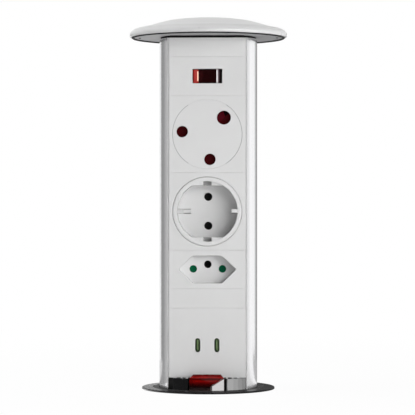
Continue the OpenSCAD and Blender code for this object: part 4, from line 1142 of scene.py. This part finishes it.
    def build_shutters(self) -> None:
        """Build the two shutters behind the pin holes, with painted light on the type M shutter's
        ramp and a painted shadow in its earth hole.
        """
        shutter = self.shop.rounded("type_m_shutter", self.m_shutter_round)
        cut(shutter, self.m_shade_at, self.m_shade_across)
        for face in shutter.faces:
            face.material_index = self.shutter_part(face)
        self.shop.piece(shutter, "type_m_shutter_piece", Body.SHUTTER_M, SHUTTER_RED,
                        ("type_m_shutter",), also=(RAMP_PAINTED_LIGHT, SHUTTER_PAINTED_SHADOW))
        self.shop.soft_copy("type_n_shutter", Body.SHUTTER_N, SHUTTER_GREEN, self.n_shutter_round)

    def shutter_part(self, face: BMFace) -> ShutterPart:
        """Tell which part of the type M shutter a face belongs to, for its painted light and
        shadow.

        Args:
            face: The face.

        Returns:
            The part.
        """
        off = face.calc_center_median() / MM - Vector(self.m_shade_at)
        # Painted shadow: the earth hole's right corner, as if its wall cast it.
        if off.dot(Vector(self.m_shade_across)) > 0.0 and abs(off.z) < self.m_shade_h:
            return ShutterPart.SHADE
        square, steep = self.m_ramp_facing
        return ShutterPart.RAMP if square < face.normal.y < steep else ShutterPart.PLATE

    def build_clip(self) -> None:
        """Build the type F earth clip: bright metal only in the middle of the right, with painted
        shade above and below it, and the left clip painted a dull grey.
        """
        clip = self.shop.rounded("type_f_earth_clip", self.f_clip_round)
        half = self.f_clip_glint / 2
        for side in (-1.0, 1.0):
            cut(clip, (0.0, 0.0, self.f_clip_z + side * half), Z_AXIS)
        for face in clip.faces:
            at = face.calc_center_median() / MM
            # Painted light: the left clip dull, and painted shade at the right clip's edges.
            right = ClipPart.SIDE if abs(at.z - self.f_clip_z) > half else ClipPart.BRIGHT
            face.material_index = ClipPart.LEFT if at.x < 0.0 else right
        self.shop.piece(clip, "type_f_earth_clip_piece", Body.TOWER, CLIP_STEEL,
                        ("type_f_earth_clip",), also=(CLIP_PAINTED_DULL, CLIP_PAINTED_SHADE))

    def build_spring(self) -> None:
        """Build the spring under the type N shutter, which its slide presses together."""
        spring = self.shop.piece(self.shop.copy_of("type_n_spring"), "type_n_spring_piece",
                                 Body.TOWER, STEEL, ("type_n_spring",))
        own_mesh(spring)


@dataclass
class Switch(SubAssembly):
    """The lit rocker switch."""

    pivot_y: float = -14.330
    pivot_z: float = 203.5
    tilt: float = -8.0
    half_len: float = 9.0
    left_x: float = 5.65
    right_x: float = 7.0
    face: float = 4.2
    dip: float = 0.35
    end_face: float = 2.6
    waist: float = 0.8
    waist_in: float = 1.0
    back: float = 2.8
    back_x: float = 3.0
    height: float = 8.9
    soft: float = 0.4
    soft_steps: int = 3
    soft_angle: float = 20.0
    axle_r: float = 1.0
    axle_len: float = 11.0
    axle_round: float = 0.15
    axle_steps: int = 24
    ridge: float = 0.35
    strip: float = 1.1
    glint: float = 6.2

    def section(self) -> list[Point]:
        """Draw the rocker's section about its pivot.

        Returns:
            Its points, x across and y into the tower.
        """
        f, x, w = self.right_x, self.half_len, self.half_len - self.waist_in
        fall = (self.face - self.end_face) / (x - f) * self.strip
        return [(-x, -self.end_face), (-self.left_x, -self.face), (0.0, -self.face + self.dip),
                (f, -self.face), (f + self.strip, fall - self.face), (x, -self.end_face),
                (w, self.waist), (self.back_x, self.back), (-self.back_x, self.back),
                (-w, self.waist)]

    def part_of(self, face: BMFace) -> RockerPart:
        """Tell which part of the rocker a face belongs to; the parts beside the body carry its
        painted glow, highlights, reflection and shade.

        Args:
            face: The face, before the rocker is tilted.

        Returns:
            The part.
        """
        middle = face.calc_center_median() / MM
        if abs(middle.x + self.left_x) < self.ridge and abs(middle.z) < self.glint / 2:
            return RockerPart.GLINT
        if middle.x < -self.left_x + self.ridge:
            return RockerPart.LENS
        if middle.x < self.right_x - self.ridge:
            return RockerPart.BODY
        if middle.x < self.right_x + self.ridge:
            return RockerPart.RIDGE
        return RockerPart.STRIP if middle.x < self.right_x + self.strip else RockerPart.END

    def rocker(self) -> BMesh:
        """Build the rocker about its pivot, untilted.

        Returns:
            Its mesh.
        """
        bm = bmesh.new()
        low = -self.height / 2 * MM
        face = bm.faces.new([bm.verts.new((x * MM, y * MM, low)) for x, y in self.section()])
        made = bmesh.ops.extrude_face_region(bm, geom=[face])["geom"]
        top = [item for item in made if isinstance(item, BMVert)]
        bmesh.ops.translate(bm, verts=top, vec=(0.0, 0.0, self.height * MM))
        bmesh.ops.recalc_face_normals(bm, faces=bm.faces)
        soften(bm, self.soft, self.soft_steps, self.soft_angle)
        for z in (-self.glint / 2, self.glint / 2):
            cut(bm, (0.0, 0.0, z), Z_AXIS)
        for each in bm.faces:
            each.material_index = self.part_of(each)
        axle = bmesh.new()
        radius = self.axle_r * MM
        bmesh.ops.create_cone(axle, cap_ends=True, segments=self.axle_steps, radius1=radius,
                              radius2=radius, depth=self.axle_len * MM)
        join(bm, soften(axle, self.axle_round))
        return bm

    def build(self) -> None:
        """Build the switch."""
        bm = self.rocker()
        tilt = Matrix.Rotation(math.radians(self.tilt), 3, "Z")
        bmesh.ops.rotate(bm, verts=bm.verts, cent=ORIGIN, matrix=tilt)
        pivot = Vector((0.0, self.pivot_y, self.pivot_z)) * MM
        bmesh.ops.translate(bm, verts=bm.verts, vec=pivot)
        self.shop.piece(bm, "switch_rocker_piece", Body.ROCKER, ROCKER_RED, ("switch_rocker",),
                        also=(LENS_PAINTED_GLOW, RIDGE_PAINTED_GLINT, RIDGE_PAINTED_HIGHLIGHT, ROCKER_PAINTED_REFLECTION, ROCKER_PAINTED_SHADE))
        self.shop.dress("switch_housing", BLACK)
        self.shop.dress("switch_lamp", LAMP)
        self.shop.dress("switch_terminals", BRASS)


@dataclass
class Foot(SubAssembly):
    """The black foot block with the red release latch."""

    draft_z: float = 1.2
    band: float = 0.06
    top_z: float = 8.7
    top_cut: float = 0.3
    soft: float = 0.2
    soft_steps: int = 3
    squarely: float = 0.95
    pocket_x: float = 12.9
    end_x: float = -22.0
    vents: tuple[Pair, ...] = ((13.6, 15.8), (17.1, 19.3))
    front_facing: float = -0.5
    front_lean: float = 0.2
    shade_x: float = 3.6
    shade_at: Triple = (3.7, 0.0, 4.1)
    shade_across: Triple = (-0.52, 0.0, 0.854)
    liner: Triple = (24.0, 0.2, 12.0)
    liner_y: float = -19.2
    catch_z: Pair = (-36.0, -10.0)
    catch_round: float = 0.12

    def ringed(self, node: str, *heights_mm: float) -> BMesh:
        """Copy a solid with rounded edges and level cuts, which keep its smooth shading even.

        Args:
            node: The solid's name.
            heights_mm: Heights of more cuts than those beside the start of the front's draft.

        Returns:
            The copy.
        """
        bm = self.shop.rounded(node, self.soft, self.soft_steps)
        for z in (self.draft_z - self.band, self.draft_z + self.band, *heights_mm):
            cut(bm, (0.0, 0.0, z), Z_AXIS)
        return bm

    def takes_foot_painted_shade(self, face: BMFace) -> bool:
        """Tell whether a face of the foot takes painted shade: in the pocket, in a vent or at the
        left end.

        Args:
            face: The face.

        Returns:
            True where it takes painted shade.
        """
        x = face.calc_center_median().x / MM
        if face.normal.z > self.squarely:
            return any(low < abs(x) < high for low, high in self.vents)
        return abs(face.normal.x) > self.squarely or abs(x) < self.pocket_x or x < self.end_x

    def in_latch_painted_shade(self, face: BMFace) -> bool:
        """Tell whether a face of the latch is in the corner of its front that takes painted shade.

        Args:
            face: The face.

        Returns:
            True in the corner.
        """
        at = face.calc_center_median() / MM
        front = face.normal.y < self.front_facing and abs(face.normal.z) < self.front_lean
        under = (at - Vector(self.shade_at)).dot(Vector(self.shade_across)) < 0.0
        return front and under and at.x > self.shade_x

    def build(self) -> None:
        """Build the foot, its latch and the catch."""
        foot = self.ringed("foot_block", self.top_z - self.top_cut)
        for x in (self.pocket_x, *(edge for vent in self.vents for edge in vent)):
            cut(foot, (x, 0.0, 0.0), X_AXIS)
            cut(foot, (-x, 0.0, 0.0), X_AXIS)
        cut(foot, (self.end_x, 0.0, 0.0), X_AXIS)
        for face in foot.faces:
            # Painted shade: the pocket, the vents' dashes and the left end in matt black.
            face.material_index = int(self.takes_foot_painted_shade(face))
        self.shop.piece(foot, "foot_block_piece", Body.TOWER, GLOSS_BLACK, ("foot_block",),
                        also=(SPACER_BLACK_AND_PAINTED_SHADE,))
        latch = self.ringed("release_latch")
        cut(latch, (self.shade_x, 0.0, 0.0), X_AXIS)
        cut(latch, self.shade_at, self.shade_across)
        for face in latch.faces:
            # Painted shade in the front's lower right corner.
            face.material_index = int(self.in_latch_painted_shade(face))
        self.shop.piece(latch, "release_latch_piece", Body.LATCH, LATCH_RED_PAINTED_LIGHT, ("release_latch",),
                        also=(LATCH_PAINTED_SHADE,))
        liner = bmesh.new()
        middle = Vector((0.0, self.liner_y, self.top_z - self.liner[2] / 2)) * MM
        block(liner, Vector(self.liner) * MM, middle)
        self.shop.piece(liner, "pocket_liner", Body.TOWER, SPACER_BLACK_AND_PAINTED_SHADE)
        self.build_catch()
        self.shop.dress("latch_pin", STEEL)

    def build_catch(self) -> None:
        """Build the catch's leaf, which bends between the tower and the latch."""
        leaf = self.shop.rounded("catch_spring", self.catch_round)
        spring = self.shop.piece(leaf, "catch_spring_piece", None, STEEL, ("catch_spring",))
        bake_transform(spring)


@dataclass
class DeskMount(SubAssembly):
    """The flanged collar with its thread, seal and guide sleeve, and the clamp below the desk."""

    bore: float = 35.0
    root_r: float = 38.2
    crest_r: float = 39.0
    register_r: float = 39.5
    register_len: float = 8.0
    register_run: float = 0.6
    register_edge: Pair = (0.2, 0.4)
    length: float = 60.0
    flange_r: float = 43.4
    flange_t: float = 1.2
    flange_bevel: float = 0.4
    flange_nose: float = 0.12
    flange_under: float = 0.1
    lip_r: float = 36.3
    lip_edge: float = 0.08
    lip_floor: float = 0.3
    groove: Pair = (40.6, 42.3)
    groove_h: float = 0.7
    pitch: float = 4.0
    thread_start: float = 1.2
    thread_spare: float = 3.2
    thread_sink: float = 0.3
    thread_half: Triple = (1.0, 0.9, 0.35)
    thread_steps: int = 72
    turn_steps: int = 160
    seal_round: float = 0.2
    sleeve_round: float = 0.15
    washer_round: float = 0.3
    nut_round: float = 0.8
    nut_steps: int = 3

    def outline(self) -> list[Point]:
        """Draw the collar's section without its thread.

        Returns:
            Its points, from the bottom of the bore outwards and up.
        """
        inner, outer = self.groove
        edge_in, edge_down = self.register_edge
        top, rim, under = self.flange_t, self.flange_r, self.flange_under
        return [(self.bore, -self.length), (self.root_r, -self.length),
                (self.root_r, -self.register_len - self.register_run),
                (self.register_r, -self.register_len), (self.register_r, -edge_down),
                (self.register_r - edge_in, 0.0), (inner, 0.0), (inner, self.groove_h),
                (outer, self.groove_h), (outer, 0.0), (rim - under, 0.0), (rim, under),
                (rim, top - self.flange_bevel), (rim - self.flange_nose, top - self.flange_nose),
                (rim - self.flange_bevel, top), (self.lip_r + self.lip_edge, top),
                (self.lip_r, top - self.lip_edge), (self.lip_r, self.lip_floor),
                (self.bore, self.lip_floor)]

    def thread(self) -> BMesh:
        """Build the collar's thread.

        Returns:
            The ridge that winds up the collar.
        """
        bm = bmesh.new()
        start = -self.length + self.thread_start
        radii = (self.root_r - self.thread_sink, self.root_r, self.crest_r)
        lower = [(r, start - half) for r, half in zip(radii, self.thread_half)]
        upper = [(r, start + half) for r, half in zip(radii, self.thread_half)]
        edges = line_of(bm, lower + upper[::-1], closed=True)
        turns = (self.length - self.register_len - self.thread_spare) / self.pitch
        rise = (0.0, 0.0, self.pitch * MM / self.thread_steps)
        bmesh.ops.spin(bm, geom=bm.verts[:] + edges, cent=ORIGIN, axis=Z_AXIS, dvec=rise,
                       angle=2.0 * math.pi * turns, steps=round(turns * self.thread_steps),
                       use_merge=False, use_duplicate=False)
        ends = [edge for edge in bm.edges if edge.is_boundary]
        bmesh.ops.holes_fill(bm, edges=ends, sides=len(edges))
        bmesh.ops.recalc_face_normals(bm, faces=bm.faces)
        return bm

    def build(self) -> None:
        """Build the desk mounting."""
        collar = turned(self.outline(), closed=True, steps=self.turn_steps)
        join(collar, self.thread())
        self.shop.piece(collar, "flange_collar_piece", Body.DESK, FLANGE, ("flange_collar",))
        self.shop.soft_copy("flange_seal", Body.DESK, RUBBER, self.seal_round)
        self.shop.soft_copy("guide_sleeve", Body.DESK, BLACK, self.sleeve_round)
        self.shop.soft_copy("clamp_washer", Body.WASHER, TURNED_STEEL, self.washer_round)
        self.shop.soft_copy("clamp_nut", Body.NUT, BLACK, self.nut_round, self.nut_steps)


@dataclass
class CableEntry(SubAssembly):
    """The cable gland in the base."""

    soft: float = 0.4
    soft_steps: int = 3

    def build(self) -> None:
        """Build the gland and its nuts."""
        for node in ("cable_gland", "gland_nut"):
            self.shop.soft_copy(node, Body.TOWER, BLACK, self.soft, self.soft_steps)
        self.shop.dress("gland_lock_nut", BLACK)


def spot(azimuth: float, distance: float, height: float) -> Vector:
    """Return a point from its azimuth in degrees, its distance from the axis and its height."""
    a = math.radians(azimuth)
    return Vector((distance * math.sin(a), -distance * math.cos(a), height))


@dataclass(frozen=True)
class Card:
    """A curved studio card round the object, which only reflections and clear plastic show.

    Its two edges are given by their distance from the axis and their height.
    """

    name: str
    azimuths: Pair
    edges: tuple[Point, Point]
    level: float
    steps: int = 24

    def build(self) -> None:
        """Stand the card on the stage."""
        start, end = self.azimuths
        bm = bmesh.new()
        edge = bm.edges.new([bm.verts.new(spot(start, r, z)) for r, z in self.edges])
        bmesh.ops.spin(bm, geom=[*edge.verts, edge], cent=ORIGIN, axis=Z_AXIS, dvec=ORIGIN,
                       angle=math.radians(end) - math.radians(start), steps=self.steps,
                       use_merge=False, use_duplicate=False)
        mesh = mesh_of(bm, self.name)
        sheet = NodeSheet(bpy.data.materials.new(self.name))
        paper = sheet.add("ShaderNodeEmission", values={"Strength": self.level})
        sheet.show(paper.outputs["Emission"])
        mesh.materials.append(sheet.holder)
        card = put(self.name, mesh)
        card.visible_camera = card.visible_diffuse = card.visible_shadow = False


@dataclass(frozen=True)
class Softbox:
    """A soft light that reflections don't show: the cards stand for it there.

    Its place is given by azimuth, distance and height, and its power is in watts.
    """

    name: str
    at: Triple
    size: Pair
    power: float

    def build(self, aim_z: float) -> None:
        """Hang the light.

        Args:
            aim_z: How far above the desk it aims, or below the desk where it hangs there.
        """
        data = bpy.data.lights.new(self.name, "AREA")
        data.shape = "RECTANGLE"
        data.size, data.size_y = self.size
        data.energy = self.power
        lamp = put(self.name, data)
        lamp.location = spot(*self.at)
        lamp.visible_glossy = False
        aim = Vector((0.0, 0.0, math.copysign(aim_z, lamp.location.z))) - lamp.location
        lamp.rotation_euler = aim.to_track_quat("-Z", "Y").to_euler()


@dataclass
class Studio:
    """The desk top, the light and the camera."""

    frame_px: float = 415.0
    axis_px: Point = (208.3, 200.9)
    px_per_m: float = 1525.0
    distance: float = 1.330
    azimuth: float = 2.0
    eye_z: float = 0.1228
    sensor: float = 36.0
    clip: Pair = (0.05, 50.0)
    desk_rings: tuple[float, ...] = (0.0425, 0.3, 1.5, 6.0)
    desk_steps: int = 96
    desk_colour: Colour = grey(0.9)
    desk_roughness: float = 0.9
    fade_r: Pair = (0.05, 0.6)
    fade_from: float = 0.96
    fill: float = 0.04
    lamps: tuple[Softbox, ...] = (
        Softbox("key_right", (31.0, 1.0, 0.28), (0.6, 0.46), 5.65),
        Softbox("side_right", (74.0, 1.0, 0.25), (0.95, 0.6), 3.4),
        Softbox("top_left", (-90.0, 0.7, 0.85), (0.8, 0.8), 8.0),
        Softbox("low_back", (-150.0, 0.9, 0.16), (0.4, 0.2), 3.5),
        Softbox("under_front", (20.0, 0.9, -0.3), (0.8, 0.5), 5.0),
        Softbox("under_back", (-140.0, 0.9, -0.3), (0.8, 0.5), 3.0),
    )
    cards: tuple[Card, ...] = (
        Card("flag_front_left", (-100.0, 5.0), ((0.95, 0.0), (0.95, 0.95)), 0.06),
        Card("flag_front_right", (5.0, 110.0), ((0.96, 0.3), (0.96, 0.95)), 0.15),
        Card("key_front", (6.0, 42.0), ((0.95, 0.0), (0.95, 0.36)), 6.2),
        Card("side_front_1", (46.0, 62.0), ((0.95, 0.0), (0.95, 0.32)), 3.4),
        Card("side_front_2", (62.0, 76.0), ((0.95, 0.0), (0.95, 0.32)), 2.9),
        Card("side_front_3", (76.0, 88.0), ((0.95, 0.0), (0.95, 0.32)), 2.3),
        Card("side_front_4", (88.0, 100.0), ((0.95, 0.0), (0.95, 0.32)), 1.8),
        Card("side_left", (-104.0, -90.0), ((0.1, 0.0), (0.1, 0.245)), 0.50),
        Card("mid_left", (-111.0, -104.0), ((0.1, 0.0), (0.1, 0.245)), 0.36),
        Card("back_left", (-129.0, -111.0), ((0.1, 0.012), (0.1, 0.245)), 0.28),
        Card("rim_left", (-170.0, -129.0), ((0.1, 0.012), (0.1, 0.245)), 0.95),
        Card("low_left", (-179.0, -163.0), ((0.3, 0.012), (0.3, 0.06)), 2.5),
        Card("side_right", (78.0, 92.0), ((0.1, 0.0135), (0.1, 0.245)), 0.60),
        Card("mid_right", (92.0, 99.0), ((0.1, 0.0135), (0.1, 0.245)), 0.80),
        Card("back_right", (128.0, 137.0), ((0.1, 0.0), (0.1, 0.245)), 0.50),
        Card("rim_right", (137.0, 170.0), ((0.1, 0.012), (0.1, 0.245)), 0.30),
        Card("low_right", (160.0, 179.0), ((0.3, 0.0), (0.3, 0.06)), 0.06),
        Card("cap_back", (100.0, 260.0), ((0.3, 0.25), (0.3, 0.7)), 1.0),
        Card("floor_rim", (-175.0, -129.0), ((0.046, 0.001), (0.4, 0.001)), 0.70),
        Card("floor_left", (-129.0, -90.0), ((0.046, 0.001), (0.4, 0.001)), 0.30),
        Card("floor_side", (60.0, 106.0), ((0.046, 0.001), (0.4, 0.001)), 0.68),
        Card("floor_right", (126.0, 170.0), ((0.046, 0.001), (0.3, 0.001)), 0.40),
        Card("floor_edge_left", (-80.0, -35.0), ((0.0436, 0.0001), (0.056, 0.0001)), 8.0),
        Card("floor_edge_mid", (-35.0, -15.0), ((0.0436, 0.0001), (0.056, 0.0001)), 3.0),
        Card("floor_edge_right", (-15.0, 120.0), ((0.0436, 0.0001), (0.056, 0.0001)), 0.08),
        Card("clip_strip", (-85.0, -77.0), ((0.8, 0.09), (0.8, 0.14)), 1.4),
        Card("strip_left", (-52.0, -48.0), ((0.8, 0.19), (0.8, 0.31)), 6.0),
    )

    def camera(self) -> None:
        """Set up the camera at the photograph's angle."""
        data = bpy.data.cameras.new("camera")
        data.sensor_width = self.sensor
        data.lens = self.sensor * self.px_per_m * self.distance / self.frame_px
        data.shift_x = (self.frame_px / 2 - self.axis_px[0]) / self.frame_px
        data.shift_y = (self.axis_px[1] - self.frame_px / 2) / self.frame_px
        data.clip_start, data.clip_end = self.clip
        cam = put("camera", data)
        cam.location = spot(self.azimuth, self.distance, self.eye_z)
        cam.rotation_euler = (math.pi / 2, 0.0, math.radians(self.azimuth))
        bpy.context.scene.camera = cam

    def world(self) -> None:
        """Light the room evenly, with a white background."""
        world = bpy.data.worlds.new("studio")
        bpy.context.scene.world = world
        sheet = NodeSheet(world)
        back = sheet.tree.nodes["Background"]
        back.inputs["Color"].default_value = (*grey(1.0), 1.0)
        values = {"To Min": self.fill, "To Max": 1.0}
        level = sheet.add("ShaderNodeMapRange", sheet.seen_rays(), values)
        sheet.link(level.outputs["Result"], back.inputs["Strength"])

    def desk(self) -> None:
        """Lay the pale desk top round the flange."""
        bm = bmesh.new()
        for radius in self.desk_rings:
            bmesh.ops.create_circle(bm, cap_ends=False, radius=radius, segments=self.desk_steps)
        bmesh.ops.bridge_loops(bm, edges=bm.edges[:])
        bmesh.ops.recalc_face_normals(bm, faces=bm.faces)
        mesh = mesh_of(bm, "desk_top")
        mesh.materials.append(self.desk_material())
        desk = put("desk_top", mesh)

    def desk_material(self) -> Material:
        """Make a pale matt surface that runs out into the white background.

        Returns:
            The material.
        """
        sheet = NodeSheet(bpy.data.materials.new("desk_pale"))
        sheet.fix({"Base Color": (*self.desk_colour, 1.0), "Roughness": self.desk_roughness,
                   "Specular IOR Level": 0.0})
        near, far = self.fade_r
        values = {"From Min": near, "From Max": far, "To Min": self.fade_from}
        place = sheet.coords()
        radius = sheet.add("ShaderNodeVectorMath", place, operation="LENGTH").outputs["Value"]
        fade = sheet.add("ShaderNodeMapRange", radius, values, interpolation_type="SMOOTHSTEP")
        share = sheet.add("ShaderNodeMath", fade.outputs["Result"], operation="MULTIPLY")
        sheet.link(sheet.seen_rays(), share.inputs[1])
        mix = sheet.add("ShaderNodeMixShader", share.outputs[0])
        sheet.link(sheet.tree.nodes["Principled BSDF"].outputs["BSDF"], mix.inputs[1])
        sheet.link(sheet.add("ShaderNodeEmission").outputs["Emission"], mix.inputs[2])
        sheet.show(mix.outputs["Shader"])
        return sheet.holder

    def build(self) -> None:
        """Set up the whole studio."""
        bpy.context.scene.view_settings.view_transform = "Standard"
        self.world()
        self.desk()
        for card in self.cards:
            card.build()
        for lamp in self.lamps:
            lamp.build(self.eye_z)
        self.camera()


def main() -> None:
    """Build every sub-assembly, then the studio."""
    logging.basicConfig(level=logging.INFO, format="%(name)s: %(message)s")
    shop = Workshop(frame["nodes"])
    for kind in (Cap, Tower, Panel, Switch, Foot, DeskMount, CableEntry):
        kind(shop).build()
    Studio().build()
    log.info("%d pieces made", shop.count)


if __name__ == "__main__":
    main()
